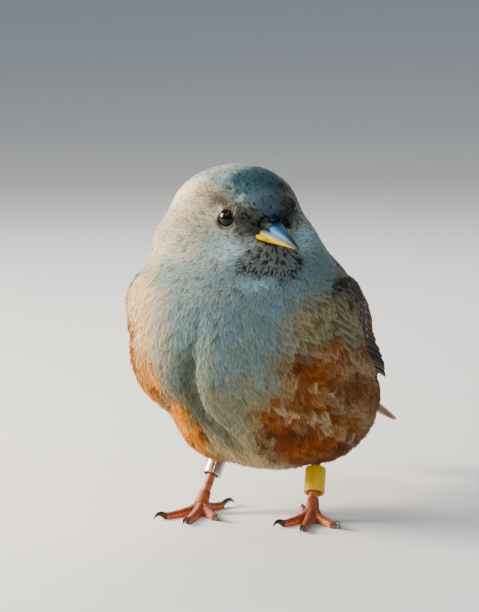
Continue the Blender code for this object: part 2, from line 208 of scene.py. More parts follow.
def show(name, mesh, look, stands_for=()):
    """Puts a piece in the scene: its finish, the body it rides on, what it replaces."""
    piece = bpy.data.objects.new(name, mesh)
    bpy.context.scene.collection.objects.link(piece)
    mesh.materials.clear()
    mesh.materials.append(look)
    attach(piece, "root")
    if stands_for:
        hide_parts(*stands_for)
    return piece


def show_closed(name, shape, look, stands_for=()):
    """Shows a closed shape, with its faces turned outwards."""
    mesh = mesh_of(name, *shape)
    turned_up(mesh)
    show(name, mesh, look, stands_for)


def arrays_of(mesh):
    """Points in the bird's frame, and triangles."""
    mesh.calc_loop_triangles()
    points = np.empty(len(mesh.vertices) * 3)
    mesh.vertices.foreach_get("co", points)
    corners = np.empty(len(mesh.loop_triangles) * 3, np.int32)
    mesh.loop_triangles.foreach_get("vertices", corners)
    return points.reshape(-1, 3) / MM - BIRD, corners.reshape(-1, 3)


def solids(*nodes):
    """The meshes of CAD nodes."""
    return [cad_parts[node].data for node in nodes]


def remeshed(meshes, voxel, relaxing):
    """One even closed mesh round the given ones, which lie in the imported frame, as it does."""
    shape = bmesh.new()
    for mesh in meshes:
        shape.from_mesh(mesh)
    bmesh.ops.remove_doubles(shape, verts=shape.verts, dist=0.001 * MM)
    mesh = bpy.data.meshes.new("rough")
    shape.to_mesh(mesh)
    shape.free()
    rough = bpy.data.objects.new("rough", mesh)
    bpy.context.scene.collection.objects.link(rough)
    blend = rough.modifiers.new("blend", "REMESH")
    blend.mode = "VOXEL"
    blend.voxel_size = voxel * MM
    relax = rough.modifiers.new("relax", "SMOOTH")
    relax.factor = 0.5
    relax.iterations = relaxing
    made = bpy.data.meshes.new_from_object(rough.evaluated_get(bpy.context.evaluated_depsgraph_get()))
    bpy.data.objects.remove(rough)
    bpy.data.meshes.remove(mesh)
    return made


class Surface:
    """A closed triangle mesh that answers where its nearest point is, and which way it faces there."""

    def __init__(self, points, triangles):
        self.points, self.triangles = points, triangles
        self.tree = BVHTree.FromPolygons(points.tolist(), triangles.tolist())
        corners = points[triangles]
        flat = np.cross(corners[:, 1] - corners[:, 0], corners[:, 2] - corners[:, 0])
        self.areas = np.linalg.norm(flat, axis=1) / 2
        normals = np.zeros_like(points)
        for i in range(3):
            np.add.at(normals, triangles[:, i], flat)
        self.normals = unit(normals)

    def shares(self, faces, places):
        """How near each place lies to the three corners of its face, as shares of one."""
        a, b, c = (self.points[self.triangles[faces, i]] for i in range(3))
        ab, ac, ap = b - a, c - a, places - a
        d00, d01, d11 = dot(ab, ab), dot(ab, ac), dot(ac, ac)
        d20, d21 = dot(ap, ab), dot(ap, ac)
        under = np.maximum(d00 * d11 - d01 * d01, 1e-12)
        v = (d11 * d20 - d01 * d21) / under
        w = (d00 * d21 - d01 * d20) / under
        return np.clip(np.stack((1 - v - w, v, w), 1), 0, 1)

    def nearest(self, places):
        """The nearest point of the surface to each place, its smooth normal there, and its face."""
        found = [self.tree.find_nearest(place) for place in places.tolist()]
        at = np.array([hit[0] for hit in found])
        faces = np.array([hit[2] for hit in found])
        shares = self.shares(faces, at)
        normals = unit((self.normals[self.triangles[faces]] * shares[..., None]).sum(1))
        return at, normals, faces

    def strewn(self, count, draw):
        """Random points spread evenly over the surface."""
        faces = draw.choice(len(self.triangles), count, p=self.areas / self.areas.sum())
        a, b = draw.random((2, count, 1))
        a = np.sqrt(a)
        corners = self.points[self.triangles[faces]]
        return (1 - a) * corners[:, 0] + a * (1 - b) * corners[:, 1] + a * b * corners[:, 2]


def nearest_nodes(nodes, places):
    """The name of the CAD node that lies nearest to each place."""
    parts = [arrays_of(mesh) for mesh in solids(*nodes)]
    owners = np.repeat(nodes, [len(triangles) for _, triangles in parts])
    points, triangles = joined(parts)
    tree = BVHTree.FromPolygons(points.tolist(), triangles.tolist())
    return owners[[tree.find_nearest(place)[2] for place in places.tolist()]]


# --- the form under the coat ---
FLESH = ("head", "neck", "trunk")
# the furrow down the right breast: (left, up) of its course, seen from the front
FURROW = np.array(((-3.0, 51.5), (-4.5, 46.0), (-8.0, 37.3), (-6.1, 29.9), (-1.6, 24.8), (2.3, 16.5)))
WINGS = ("wing_left", "wing_right")
FURROW_DEPTH = 1.7
GAPE_DEPTH = 1.2
BODY_DEPTH = 2.2  # how far the skin of the body lies below the tips of its feathers
GAPES = [from_head((11.8, side * 5.2, -2.9)) for side in (1, -1)]


def in_furrow(points, reach):
    """1 in the middle of the breast's furrow, falling to 0 a few reaches away from it."""
    seen = points[:, (0, 2)]
    nearest = np.min([off_line(seen, *ends) for ends in zip(FURROW, FURROW[1:])], axis=0)
    fading = ramp(points[:, 2], 14, 24) * (1 - 0.6 * ramp(points[:, 2], 44, 52))
    return bump_of(nearest, 0, reach) * fading * (points[:, 1] < 5)


def pressed(points, normals):
    """The face sinks a little round the corners of the mouth, so that the bill's base is bare, and the
    breast sinks along its furrow."""
    points = points - normals * FURROW_DEPTH * in_furrow(points, 2.4)[:, None]
    for gape_corner in GAPES:
        near = bump_of(distance(points, gape_corner), 0, 3.2)
        points = points - normals * near[:, None] * GAPE_DEPTH
    return points


def coat_surface():
    """The outer surface that the coat's feathers end on: body, wings, tail and bill in one."""
    nodes = [*FLESH, *WINGS, "tail", "eye_left", "eye_right", "bill_upper", "bill_lower"]
    mesh = remeshed(solids(*nodes), voxel=0.9, relaxing=7)
    points, triangles = arrays_of(mesh)
    bpy.data.meshes.remove(mesh)
    return Surface(pressed(points, Surface(points, triangles).normals), triangles)


def headness(points):
    """1 on the head, 0 on the neck and body."""
    return ramp(dot(points - NECK_PLANE[0], NECK_PLANE[1]), -7.0, 2.0)


def coat_depth(points):
    """How far the skin lies below the coat's outer surface: least round the bill, most round the eyes."""
    from_bill, from_eye = bill_and_eye(points)
    head = 0.3 + 0.9 * ramp(from_bill, 4, 20) * ramp(from_eye, 3.5, 9) + 0.9 * ramp(3.9 - from_eye, 0, 0.5)
    return head * headness(points) + BODY_DEPTH * (1 - headness(points))


def skin_mesh():
    """The skin of head, neck and trunk, as a mesh and as a surface."""
    mesh = remeshed(solids(*FLESH, "eye_left", "eye_right"), voxel=1.0, relaxing=9)
    points, triangles = arrays_of(mesh)
    normals = Surface(points, triangles).normals
    inset = pressed(points, normals) - normals * coat_depth(points)[:, None]
    mesh.vertices.foreach_set("co", placed(inset).astype(np.float32).ravel())
    mesh.update()
    mesh.shade_smooth()
    return mesh, Surface(inset, triangles)


def unwrapped(piece):
    """Lays the piece out flat by its own shape, on the map named OFBake."""
    bpy.context.view_layer.objects.active = piece
    piece.select_set(True)
    piece.data.uv_layers.new(name="OFBake")
    bpy.ops.object.mode_set(mode="EDIT")
    bpy.ops.mesh.select_all(action="SELECT")
    bpy.ops.uv.smart_project(angle_limit=math.radians(66), island_margin=0.004)
    bpy.ops.object.mode_set(mode="OBJECT")
    piece.select_set(False)


class SkinMap:
    """The skin's flat layout, read at any place near the skin."""

    def __init__(self, mesh, surface):
        self.surface = surface
        flat = np.empty(len(mesh.loops) * 2)
        mesh.uv_layers["OFBake"].uv.foreach_get("vector", flat)
        corners = np.empty(len(mesh.loop_triangles) * 3, np.int32)
        mesh.loop_triangles.foreach_get("loops", corners)
        self.places = flat.reshape(-1, 2)[corners.reshape(-1, 3)]

    def read(self, points):
        at, _, faces = self.surface.nearest(points)
        return (self.places[faces] * self.surface.shares(faces, at)[..., None]).sum(1)


# --- lofted pieces ---
def grid_faces(rows, columns, closed=True):
    """Quads between neighbouring rows of points; closed joins each row's last point to its first."""
    r, c = np.mgrid[0 : rows - 1, 0 : columns - (0 if closed else 1)]
    r, c = r.ravel(), c.ravel()
    d = (c + 1) % columns
    return np.stack((r * columns + c, r * columns + d, (r + 1) * columns + d, (r + 1) * columns + c), 1)


def capped(rows):
    """A tube's rows of points with a last row drawn together at each end, so that it closes."""
    first = np.broadcast_to(rows[0].mean(0), rows[0].shape)
    last = np.broadcast_to(rows[-1].mean(0), rows[-1].shape)
    return np.concatenate((first[None], rows, last[None]))


def lofted(rows, tint):
    """Points, faces, colours and patches of a closed tube through rows of points, and its own map."""
    count, around = rows.shape[:2]
    own = np.mgrid[0:count, 0:around].reshape(2, -1).T / (count, around)
    return rows.reshape(-1, 3), grid_faces(count, around), tint.reshape(-1, 3), own * 0.9 + 0.05


def tube(centres, around, size, wide=1.0, up=UP):
    """Rows of points round a line, whose height is its size and whose width is a share of it.

    around gives the turns of a row's points, from the side towards the way that is nearest to up."""
    ahead = unit(np.gradient(centres, axis=0))
    across = unit(np.cross(ahead, up))
    above = np.cross(across, ahead)
    aside = np.cos(around)[:, None] * across[:, None] * wide
    return centres[:, None] + (aside + np.sin(around)[:, None] * above[:, None]) * size[..., None]


def turned_up(mesh):
    """Makes the mesh's faces look outwards."""
    shape = bmesh.new()
    shape.from_mesh(mesh)
    bmesh.ops.recalc_face_normals(shape, faces=shape.faces)
    shape.to_mesh(mesh)
    shape.free()


# --- eyes ---
PUPIL, IRIS, LIDS = 0.80, 1.22, 1.08  # angles from the eye's axis, in radians, where each ends
EYE_SUNK = 0.1  # how far the eyes lie inside the solids' eyes
LOOKS_AHEAD = {"left": 0.28, "right": 0.54}  # how far each eye looks ahead, as a share of its axis
IRIS_BACK = 0.16  # how much less the iris looks ahead than the lids do


def eye_axes(side, turned_back=0.0):
    """The eye's axis, and the two directions across it: towards the bill and towards the crown."""
    share = LOOKS_AHEAD[side] - turned_back
    axis = unit(share * FORWARD + math.sqrt(1 - share**2) * SIGN[side] * LEFT + 0.10 * CROWN)
    ahead = unit(FORWARD - axis * dot(FORWARD, axis))
    return axis, ahead, np.cross(ahead, axis) * SIGN[side]


def eye_point(side, tip, turn, radius, turned_back=0.0):
    """A point seen from the eye's middle at an angle from its axis, turned from ahead towards the crown."""
    axis, ahead, above = eye_axes(side, turned_back)
    aside = np.cos(turn)[..., None] * ahead + np.sin(turn)[..., None] * above
    way = np.cos(tip)[..., None] * axis + np.sin(tip)[..., None] * aside
    return EYES[side] - eye_axes(side)[0] * EYE_SUNK + way * radius[..., None]


def eyeball(side, look):
    """The eyeball, with a brown iris of fine streaks round a black pupil."""
    tip, turn = crossed(np.linspace(0.0, 2.0, 61), turns(96))
    bulge = EYE_RADIUS * (0.985 + 0.03 * ramp(0.75 - tip, 0, 0.3))
    points = eye_point(side, tip, turn, bulge, IRIS_BACK)
    rays = np.sin(turn * 37) * 0.5 + np.sin(turn * 83 + 1) * 0.5
    brown = mix(srgb(64, 20, 8), srgb(30, 10, 5), np.clip(0.4 + 0.3 * rays, 0, 1))
    rim = ramp(tip, IRIS - 0.13, IRIS)
    tint = mix(mix(srgb(3, 3, 4), brown, ramp(tip, PUPIL - 0.015, PUPIL + 0.02)), srgb(14, 9, 8), rim)
    show_closed(f"eyeball_{side}", lofted(points, tint), look, (f"eye_{side}",))


def lid(side, look):
    """The bare dark rim of the eyelids, drawn out a little towards both corners."""
    turn, around = crossed(turns(96), turns(12))
    corner = np.abs(np.cos(turn - 0.15)) ** 6
    open_to = LIDS * (1 + 0.10 * corner - 0.05 * np.abs(np.sin(turn)) ** 3)
    beads = 1 + 0.10 * np.sin(turn * 26) * np.sin(around)
    thick = 0.17 * (1 - 0.25 * corner) * beads
    tip = open_to + (thick * np.cos(around) * 1.25 + 0.10) / EYE_RADIUS
    points = eye_point(side, tip, turn, EYE_RADIUS + thick * np.sin(around) + 0.02)
    tint = mix(srgb(24, 22, 22), srgb(78, 72, 66), ramp(tip, LIDS + 0.05, LIDS + 0.17) * 0.8)
    points, tint = (np.concatenate((rows, rows[:1])) for rows in (points, tint))
    show_closed(f"lid_{side}", lofted(points, tint), look)


# --- bill ---
SLIMMER, LONGER, GAPE_DROP = 0.8, 0.8, 0.8  # how the visible bill differs from the solid one, in millimetres
LIP = 0.05  # half the gap between the two halves
ARCH, FLOOR = 49, 17  # points round a half's arch and across its flat side
HORN_YELLOW, HORN_ORANGE = srgb(192, 162, 0), srgb(184, 96, 8)


def bill_droop(share):
    """How far the line of the mouth lies below the head's middle."""
    return BILL_DROP + GAPE_DROP * (1 - share) ** 1.5 + 1.7 * share**2.2


def nostril(share, rise, breadth):
    """1 in the slit of the nostril, at a share of the bill's length and a rise on its side."""
    return bump_of(share, 0.34, 0.075) * bump_of(rise, 0.60 - 0.3 * (share - 0.34), breadth)


def bill_places(share, angle, sign):
    """Places on half a bill, seen from the head: the solid's own rings, with its finer modelling."""
    forward = BILL_BASE + (BILL_TIP - BILL_BASE) * share + LONGER * share**3
    taper = 1 - np.clip(share, 0, 1) ** 1.1
    half_width = BILL_WIDTH / 2 * (0.94 * taper + 0.04)
    base = UPPER_HEIGHT - SLIMMER if sign > 0 else LOWER_HEIGHT
    height = base * ((1 - share**1.9) * 0.92 + 0.07)
    rise = np.clip(np.sin(angle), 0, 1)
    ridge = rise ** (1.05 if sign > 0 else 0.7)
    pinch = 1 - 0.10 * bump_of(rise, 0.62, 0.2) * bump_of(share, 0.55, 0.3)
    across = half_width * np.cos(angle) * pinch
    if sign > 0:
        flap = bump_of(share, 0.33, 0.09) * bump_of(rise, 0.78, 0.12)
        across = across * (1 - 0.14 * nostril(share, rise, 0.07) + 0.05 * flap)
        across = across * (1 + 0.05 * bump_of(rise, 0.0, 0.16) * (1 - share))
    else:
        across = across * (0.97 + 0.03 * bump_of(rise, 0.0, 0.25))
    return np.stack((forward + 0 * across, across, sign * (LIP + height * ridge) - bill_droop(share)), -1)


def in_bill(points, gap):
    """Whether each point lies in the bill, or within a gap of it."""
    f, l, u = in_head(points).T
    share = np.clip((f - BILL_BASE) / (BILL_TIP - BILL_BASE), 0, 1)
    half_width = bill_places(share, np.zeros(len(share)), 1)[:, 1] + gap
    angle = np.arccos(np.clip(l / half_width, -1, 1))
    top, bottom = (bill_places(share, angle, sign)[:, 2] + sign * gap for sign in (1, -1))
    return (np.abs(l) < half_width) & (u < top) & (u > bottom) & (f > BILL_BASE - 1)


def half_bill(node, sign, look):
    """The bill's upper half, blue-black over a yellow base with the nostril, or its yellow lower half."""
    share = np.linspace(0, 1, 72) ** 0.92 * (1.0 if sign > 0 else 0.965)
    arch, floor = np.linspace(0, math.pi, ARCH), np.linspace(math.pi, 0, FLOOR)[1:-1]
    share, angle = crossed(share, np.concatenate((arch, floor)))
    flat = np.arange(angle.shape[1]) >= ARCH
    places = bill_places(share, angle, sign)
    places[..., 2] = np.where(flat, sign * LIP - bill_droop(share), places[..., 2])
    points = from_head(places.reshape(-1, 3)).reshape(places.shape)
    rise = np.where(flat, 0, np.sin(angle))
    grain = waves(points.reshape(-1, 3), 1.1, 3).reshape(rise.shape)
    fine = waves(points.reshape(-1, 3) * (1, 1, 2.5), 0.35, 8).reshape(rise.shape)
    yellow = mix(HORN_YELLOW, HORN_ORANGE, ramp(share + 0.05 * grain, 0.66, 1.0))
    yellow = mix(yellow, srgb(206, 180, 0), 0.4 * bump_of(share, 0.22, 0.12) * ramp(grain, -0.5, 1))
    if sign > 0:
        steel = mix(srgb(28, 80, 116), srgb(12, 30, 48), ramp(share + 0.1 * grain, 0.5, 0.95))
        # painted highlight: a paler blue band along the side of the upper bill
        steel = mix(steel, srgb(66, 118, 150), 0.5 * bump_of(rise, 0.66, 0.18) * bump_of(share, 0.6, 0.25))
        steel = mix(steel, srgb(12, 20, 30), 0.6 * ramp(rise, 0.93, 1.0))
        flap = bump_of(share, 0.33, 0.09) * bump_of(rise, 0.80, 0.11)
        steel = mix(steel, srgb(104, 146, 172), 0.8 * np.clip(flap * 1.3, 0, 1))
        steel = mix(steel, srgb(5, 6, 8), np.clip(nostril(share, rise, 0.06) * 1.6, 0, 1))
        high = 0.42 - 0.30 * ramp(share, 0.15, 0.6) + 0.04 * grain
        band = 1 - ramp(rise, high - 0.08, high + 0.08)
        tint = mix(steel, yellow, band * (1 - ramp(share, 0.66, 0.9)))
    else:
        tint = mix(yellow, srgb(92, 74, 62), ramp(share, 0.86, 1.0))
        tint = mix(tint, srgb(206, 130, 10), 0.35 * ramp(rise, 0.5, 1.0))
    tint = tint * (1 + 0.10 * fine + 0.06 * grain)[..., None]
    piece = "horn_upper" if sign > 0 else "horn_lower"
    show_closed(piece, lofted(capped(points), capped(tint)), look, (node,))


def gape(side, look):
    """The soft yellow fold at the corner of the mouth."""
    t = np.linspace(0, 1, 26)
    aside = SIGN[side] * (2.95 + 1.75 * t - 0.25 * t**3)
    centres = from_head(np.stack((15.6 - 4.0 * t, aside, -3.35 + 0.25 * t**2), 1))
    size = 0.60 * np.sin(math.pi * np.clip(0.02 + 0.94 * t, 0, 1)) ** 0.7 + 0.05
    t, around = crossed(t, turns(20))
    top = np.sin(around)
    wrinkle = 1 + 0.03 * np.sin(t * 40) * top
    rows = tube(centres, turns(20), size[:, None] * wrinkle, 0.75, CROWN)
    tint = mix(HORN_YELLOW, srgb(206, 178, 0), 0.5 + 0.5 * top)
    tint = mix(tint, srgb(196, 150, 70), 0.5 * ramp(t, 0.8, 1.0))
    tint = tint * (1 - 0.5 * bump_of(top, -0.15, 0.12))[..., None]
    show_closed(f"gape_{side}", lofted(capped(rows), capped(tint)), look)


# --- legs ---
FOOT_X, FOOT_Y, ANKLE_Z = 14.8, 5.0, 3.0
HEEL = (11.5, 19.0, 24.0)
SHANK_RADIUS, TOE_RADIUS = 1.35, 1.2
# name: (direction in degrees outwards of the middle toe, length without claw, claw length)
TOES = {
    "inner": (-30.0, 11.5, 5.2),
    "middle": (0.0, 16.0, 6.0),
    "outer": (33.0, 12.5, 5.0),
    "hind": (200.0, 9.0, 7.4),
}
FOOT_TURN = {"left": 12.0, "right": -8.0}
SCUTE = 1.15  # length of a scale along the toes
TOE_LIFT = TOE_RADIUS * 0.62  # height of a toe's middle line above the floor


def leg_axes(side, towards):
    """The lower leg's ends, and its directions: up, to its front as seen from a way, and aside."""
    ankle, heel = (np.array((SIGN[side] * x, y, z)) for x, y, z in ((FOOT_X, FOOT_Y, ANKLE_Z), HEEL))
    up = unit(heel - ankle)
    front = unit(towards - up * dot(np.array(towards), up))
    return ankle, heel, up, front, np.cross(up, front)


def scaled(along, above, length):
    """How far a row of overlapping scales stands out, and how near each place is to a scale's edge."""
    share = (along / length) % 1.0
    return (share - 0.5) * above, np.maximum(bump_of(share, 1.0, 0.13), bump_of(share, 0.0, 0.10)) * above


def leg_tint(points, top, edge):
    """Skin colours: orange-brown above, pinker below, dark in the joints between the scales."""
    grain = waves(points, 2.2, 17)
    tint = mix(srgb(206, 108, 56), srgb(138, 70, 36), np.clip(top * 0.9 + 0.25 * grain, 0, 1))
    tint = tint * (1 + 0.10 * waves(points, 0.5, 23))[..., None]
    return mix(tint, srgb(64, 40, 30), np.clip(edge, 0, 1) * 0.75)


def shank(side, look):
    """The bare leg above the toes, with a row of large plates down its front."""
    ankle, heel, _, front, aside = leg_axes(side, (0, -1, 0))
    share = np.linspace(0.10, 0.90, 90)
    centres = ankle + (heel - ankle) * share[:, None]
    along, around = crossed(share * np.linalg.norm(heel - ankle), turns(40))
    facing = np.cos(around)
    plates = ramp(facing, 0.05, 0.45)
    stand, edge = scaled(along, plates, 2.5)
    _, fine = scaled(along + 0.5, ramp(-facing, 0.1, 0.5), 1.3)
    size = SHANK_RADIUS * (0.97 + 0.03 * stand) * (0.94 + 0.10 * facing**2) - 0.05 * edge - 0.03 * fine
    spread = facing[..., None] * front + np.sin(around)[..., None] * aside * 0.92
    rows = centres[:, None] + spread * size[..., None]
    tint = leg_tint(rows.reshape(-1, 3), (plates * 0.8).ravel(), (edge + 0.6 * fine).ravel())
    tint = mix(tint, srgb(196, 136, 96), 0.2).reshape(rows.shape)
    show_closed(f"leg_{side}", lofted(capped(rows), capped(tint)), look, (f"shank_{side}",))


def toe_line(side, toe):
    """The toe's middle line and radii, its way ahead, and how far along each point lies."""
    angle = math.radians(FOOT_TURN[side] + TOES[toe][0])
    along = np.array((SIGN[side] * math.sin(angle), -math.cos(angle), 0))
    length = TOES[toe][1]
    share = np.linspace(0, 1, 110)
    knuckle = 0.5 - 0.5 * np.cos(2 * math.pi * 3 * share)
    height = TOE_LIFT + (ANKLE_Z - 0.6 - TOE_LIFT) * (1 - share) ** 3.2 + 0.30 * knuckle * (1 - share)
    root = np.array((SIGN[side] * FOOT_X, FOOT_Y, 0))
    centres = root + along * (length * share)[:, None] + UP * height[:, None]
    return centres, TOE_RADIUS * (1.08 - 0.22 * share - 0.10 * knuckle), along, share * length


def toe_rows(side, toe):
    """Rows of points round a toe, scaled above and padded below."""
    centres, radii, _, far = toe_line(side, toe)
    far, around = crossed(far, turns(28))
    stand, edge = scaled(far, ramp(np.sin(around), -0.05, 0.35), SCUTE)
    pads = 0.06 * np.sin(far * 2 * math.pi / 2.1) * ramp(-np.sin(around), 0.1, 0.6)
    return tube(centres, turns(28), radii[:, None] * (1 + 0.07 * stand + pads) - 0.09 * edge)


def foot_shapes(side):
    """The closed shapes that a foot is blended from: its toes, the ankle's stem and the pad below it."""
    ankle, heel, *_ = leg_axes(side, UP)
    stem = ankle + (heel - ankle) * np.linspace(-0.06, 0.115, 12)[:, None]
    pieces = [toe_rows(side, toe) for toe in TOES]
    pieces.append(tube(stem, turns(24), np.linspace(1.95, 1.42, 12)[:, None]))
    tip, turn = crossed(np.linspace(0, math.pi, 17), turns(24))
    ball = np.stack((np.sin(tip) * np.cos(turn), np.sin(tip) * np.sin(turn), np.cos(tip)), -1)
    pad = ball * (2.15, 2.3, 1.75) + (*ankle[:2], 1.85)
    return [*(capped(rows) for rows in pieces), pad]


def foot(side, look):
    """Toes, their root and the ankle's stem in one skin, coloured by the scales."""
    meshes = [mesh_of("toe", s.reshape(-1, 3), grid_faces(*s.shape[:2])) for s in foot_shapes(side)]
    for mesh in meshes:
        turned_up(mesh)
    fine = remeshed(meshes, 0.17, 2)
    points, triangles = arrays_of(fine)
    for mesh in (*meshes, fine):
        bpy.data.meshes.remove(mesh)
    points[:, 2] = np.maximum(points[:, 2], 0.02)
    top, edge = np.zeros((2, len(points)))
    nearest = np.full(len(points), 1e9)
    for toe in TOES:
        centres, _, along, far = toe_line(side, toe)
        reach = np.clip((points - centres[0] * (1, 1, 0)) @ along, 0, far[-1])
        middle = np.stack([np.interp(reach, far, centres[:, i]) for i in range(3)], 1)
        gap = distance(points, middle)
        own = gap < nearest
        nearest = np.where(own, gap, nearest)
        above = ramp((points[:, 2] - middle[:, 2]) / TOE_RADIUS, -0.1, 0.4)
        _, line = scaled(reach, above, SCUTE)
        top = np.where(own, above, top)
        edge = np.where(own, line * ramp(reach, 1.5, 2.5), edge)
    flat = points[:, :2] - points[:, :2].min(0)
    flat = flat / (flat.max() + 1e-6) * 0.9 + 0.05
    mesh = mesh_of(f"toes_{side}", points, triangles, leg_tint(points, top, edge), flat)
    show(f"toes_{side}", mesh, look, (f"foot_{side}",))


def claw(side, toe, look):
    """A curved claw, deeper than it is wide, with a groove along each side."""
    _, length, claw_length = TOES[toe]
    centres, _, along, _ = toe_line(side, toe)
    share = np.linspace(-0.06, 1, 44)
    bend = math.radians(62)
    forward = length + 0.25 + claw_length / bend * np.sin(bend * share) * 0.98
    height = TOE_LIFT + 0.10 + 0.9 * np.sin(math.pi * np.clip(share, 0, 1)) - (TOE_LIFT - 0.15) * share**2
    line = centres[0] * (1, 1, 0) + along * forward[:, None] + UP * height[:, None]
    size = np.maximum(0.05, 0.86 * (1 - np.clip(share, 0, 1)) ** 0.75)
    share, around = crossed(share, turns(20))
    groove = 1 - 0.12 * bump_of(np.sin(around), -0.15, 0.22)
    rows = tube(line, turns(20), size[:, None] * groove, 0.62)
    rows[..., 2] = np.maximum(rows[..., 2], 0.02)
    tint = mix(srgb(74, 56, 46), srgb(24, 22, 24), ramp(share, 0.0, 0.35))
    tint = mix(tint, srgb(96, 82, 70), ramp(-np.sin(around), 0.4, 1.0) * 0.5)
    tint = tint * (1 + 0.15 * waves(rows.reshape(-1, 3), 0.7, 41)).reshape(*share.shape, 1)
    shape = lofted(capped(rows), capped(tint))
    show_closed(f"nail_{side}_{toe}", shape, look, (f"claw_{side}_{toe}",))


# --- leg rings ---
RING_BORE = 1.85
YELLOW_RING = ("left", 2.8, 6.6, 0.30)  # leg, outer radius, height, share of the way up the leg
METAL_RING = ("right", 2.35, 5.4, 0.40)
ROUNDED = 0.16  # radius of a ring's edges
PLASTIC = 0.42  # the yellow strip's thickness, less its rounded edges


def leg_ring(name, node, sizes, overlap, seam, tint, look):
    """A bent strip round the leg: its ends overlap by a step, or meet at a seam."""
    side, outer, height, place = sizes
    ankle, heel, up, front, aside = leg_axes(side, (0.25, -1, 0))
    angle = np.concatenate([np.linspace(0, math.pi / 2, 5) + i * math.pi / 2 for i in range(4)])
    is_outer = np.repeat((True, False, False, True), 5)
    tall = np.repeat((1, 1, -1, -1), 5) * (height / 2 - ROUNDED) + np.sin(angle) * ROUNDED
    turn = np.linspace(seam, 2 * math.pi - seam + overlap, 150)[:, None]
    step = (outer - RING_BORE) * 0.34 * turn / (2 * math.pi) * (overlap > 0)
    wall_out = outer - ROUNDED - step
    wall_in = wall_out - PLASTIC if overlap else RING_BORE + ROUNDED
    wave = 0.02 * np.sin(turn * 3 + tall)
    radius = np.where(is_outer, wall_out, wall_in) + np.cos(angle) * ROUNDED + wave
    way = front * np.cos(turn)[..., None] + aside * np.sin(turn)[..., None]
    rows = capped(ankle + (heel - ankle) * place + way * radius[..., None] + up * tall[:, None])
    flat = rows.reshape(-1, 3)
    worn = 1 + 0.07 * waves(flat, 2.5, 51) + 0.05 * waves(flat, 0.6, 52)
    show_closed(name, lofted(rows, (tint * worn[:, None]).reshape(rows.shape)), look, (node,))


# --- flight feathers ---
WING_FRONT = np.array((0.0, -12.0, 56.5))  # the folded wing's bend
WING_ALONG, WING_OVER = np.array((0, 0.94, -0.342)), np.array((0, 0.342, 0.94))
VANE_COLUMNS = np.array((-1, -0.93, -0.8, -0.55, -0.25, -0.05, 0.05, 0.3, 0.6, 0.82, 0.94, 1.0))
VANE_ROWS = 30
QUILL_THICKNESS = 0.11
CORE_INSET, CORE_END, CORE_SHORTENED = 1.35, 44, 0.8  # how the wing's core is pulled in below its feathers
LOOSE = 0.3  # how far a tip strays from its place


def wing_place(points):
    """Millimetres along the folded wing from its bend, and above its middle line."""
    from_bend = points - WING_FRONT
    return dot(from_bend, WING_ALONG), dot(from_bend, WING_OVER)


def neighbours(values, steps, **padding):
    """A padded grid's values at the given steps from each of its places."""
    padded = np.pad(values, 1, **padding)
    rows, columns = values.shape
    return np.stack([padded[1 + i : rows + 1 + i, 1 + j : columns + 1 + j] for i, j in steps])


class WingFace:
    """The folded wing's outer face: how far it stands from the bird's middle, at places in its own plane."""

    FIRST, LAST, LOW, HIGH = -3, 97, -17, 17

    def __init__(self, side):
        self.sign = SIGN[side]
        self.solid = Surface(*arrays_of(*solids(f"wing_{side}")))
        rows = []
        for along in range(self.FIRST, self.LAST + 1):
            row = []
            for above in range(self.LOW, self.HIGH + 1):
                start = WING_FRONT + WING_ALONG * along + WING_OVER * above + (self.sign * 60.0, 0, 0)
                hit = self.solid.tree.ray_cast(start.tolist(), (-self.sign, 0, 0))[0]
                row.append(np.nan if hit is None else abs(hit[0]))
            rows.append(row)
        self.reach = self.filled(np.array(rows))

    @staticmethod
    def filled(reach):
        """Carries the face on smoothly past the wing's edges, and evens it."""
        block = [(i, j) for i in (-1, 0, 1) for j in (-1, 0, 1)]
        while np.isnan(reach).any():
            near = neighbours(reach, block, constant_values=np.nan)
            known = ~np.isnan(near)
            mean = np.where(known, near, 0).sum(0) / np.maximum(known.sum(0), 1)
            reach = np.where(np.isnan(reach) & known.any(0), mean, reach)
        for _ in range(4):
            reach = neighbours(reach, ((0, 0), (1, 0), (-1, 0), (0, 1), (0, -1)), mode="edge").mean(0)
        return reach

    def place(self, along, above, rise):
        """Points at places in the wing's plane, rise millimetres outside its face."""
        p = np.clip(along - self.FIRST, 0, self.LAST - self.FIRST - 1e-6)
        q = np.clip(above - self.LOW, 0, self.HIGH - self.LOW - 1e-6)
        i, j = p.astype(int), q.astype(int)
        reach = 0
        for n, down in ((0, 1 - (q - j)), (1, q - j)):
            for m, back in ((0, 1 - (p - i)), (1, p - i)):
                reach = reach + self.reach[i + m, j + n] * back * down
        points = WING_FRONT + along[..., None] * WING_ALONG + above[..., None] * WING_OVER
        # the left wing's feathers stand up to a millimetre further out, as in the picture
        fuller = ramp(along, 10, 30) * (self.sign > 0)
        points[..., 0] = self.sign * (reach + rise + fuller)
        return points


TAIL_ROOT, TAIL_TIP = np.array((0.0, 37.0, 36.5)), np.array((0.0, 84.5, 15.0))
TAIL_ALONG = unit(TAIL_TIP - TAIL_ROOT)
TAIL_OVER = np.cross((1.0, 0.0, 0.0), TAIL_ALONG)


def tail_place(along, aside, rise):
    """Points over the tail's middle line, from its root, on a low roof."""
    roof = rise - 0.020 * aside**2
    across = aside[..., None] * np.array((1.0, 0, 0))
    return TAIL_ROOT + along[..., None] * TAIL_ALONG + across + roof[..., None] * TAIL_OVER


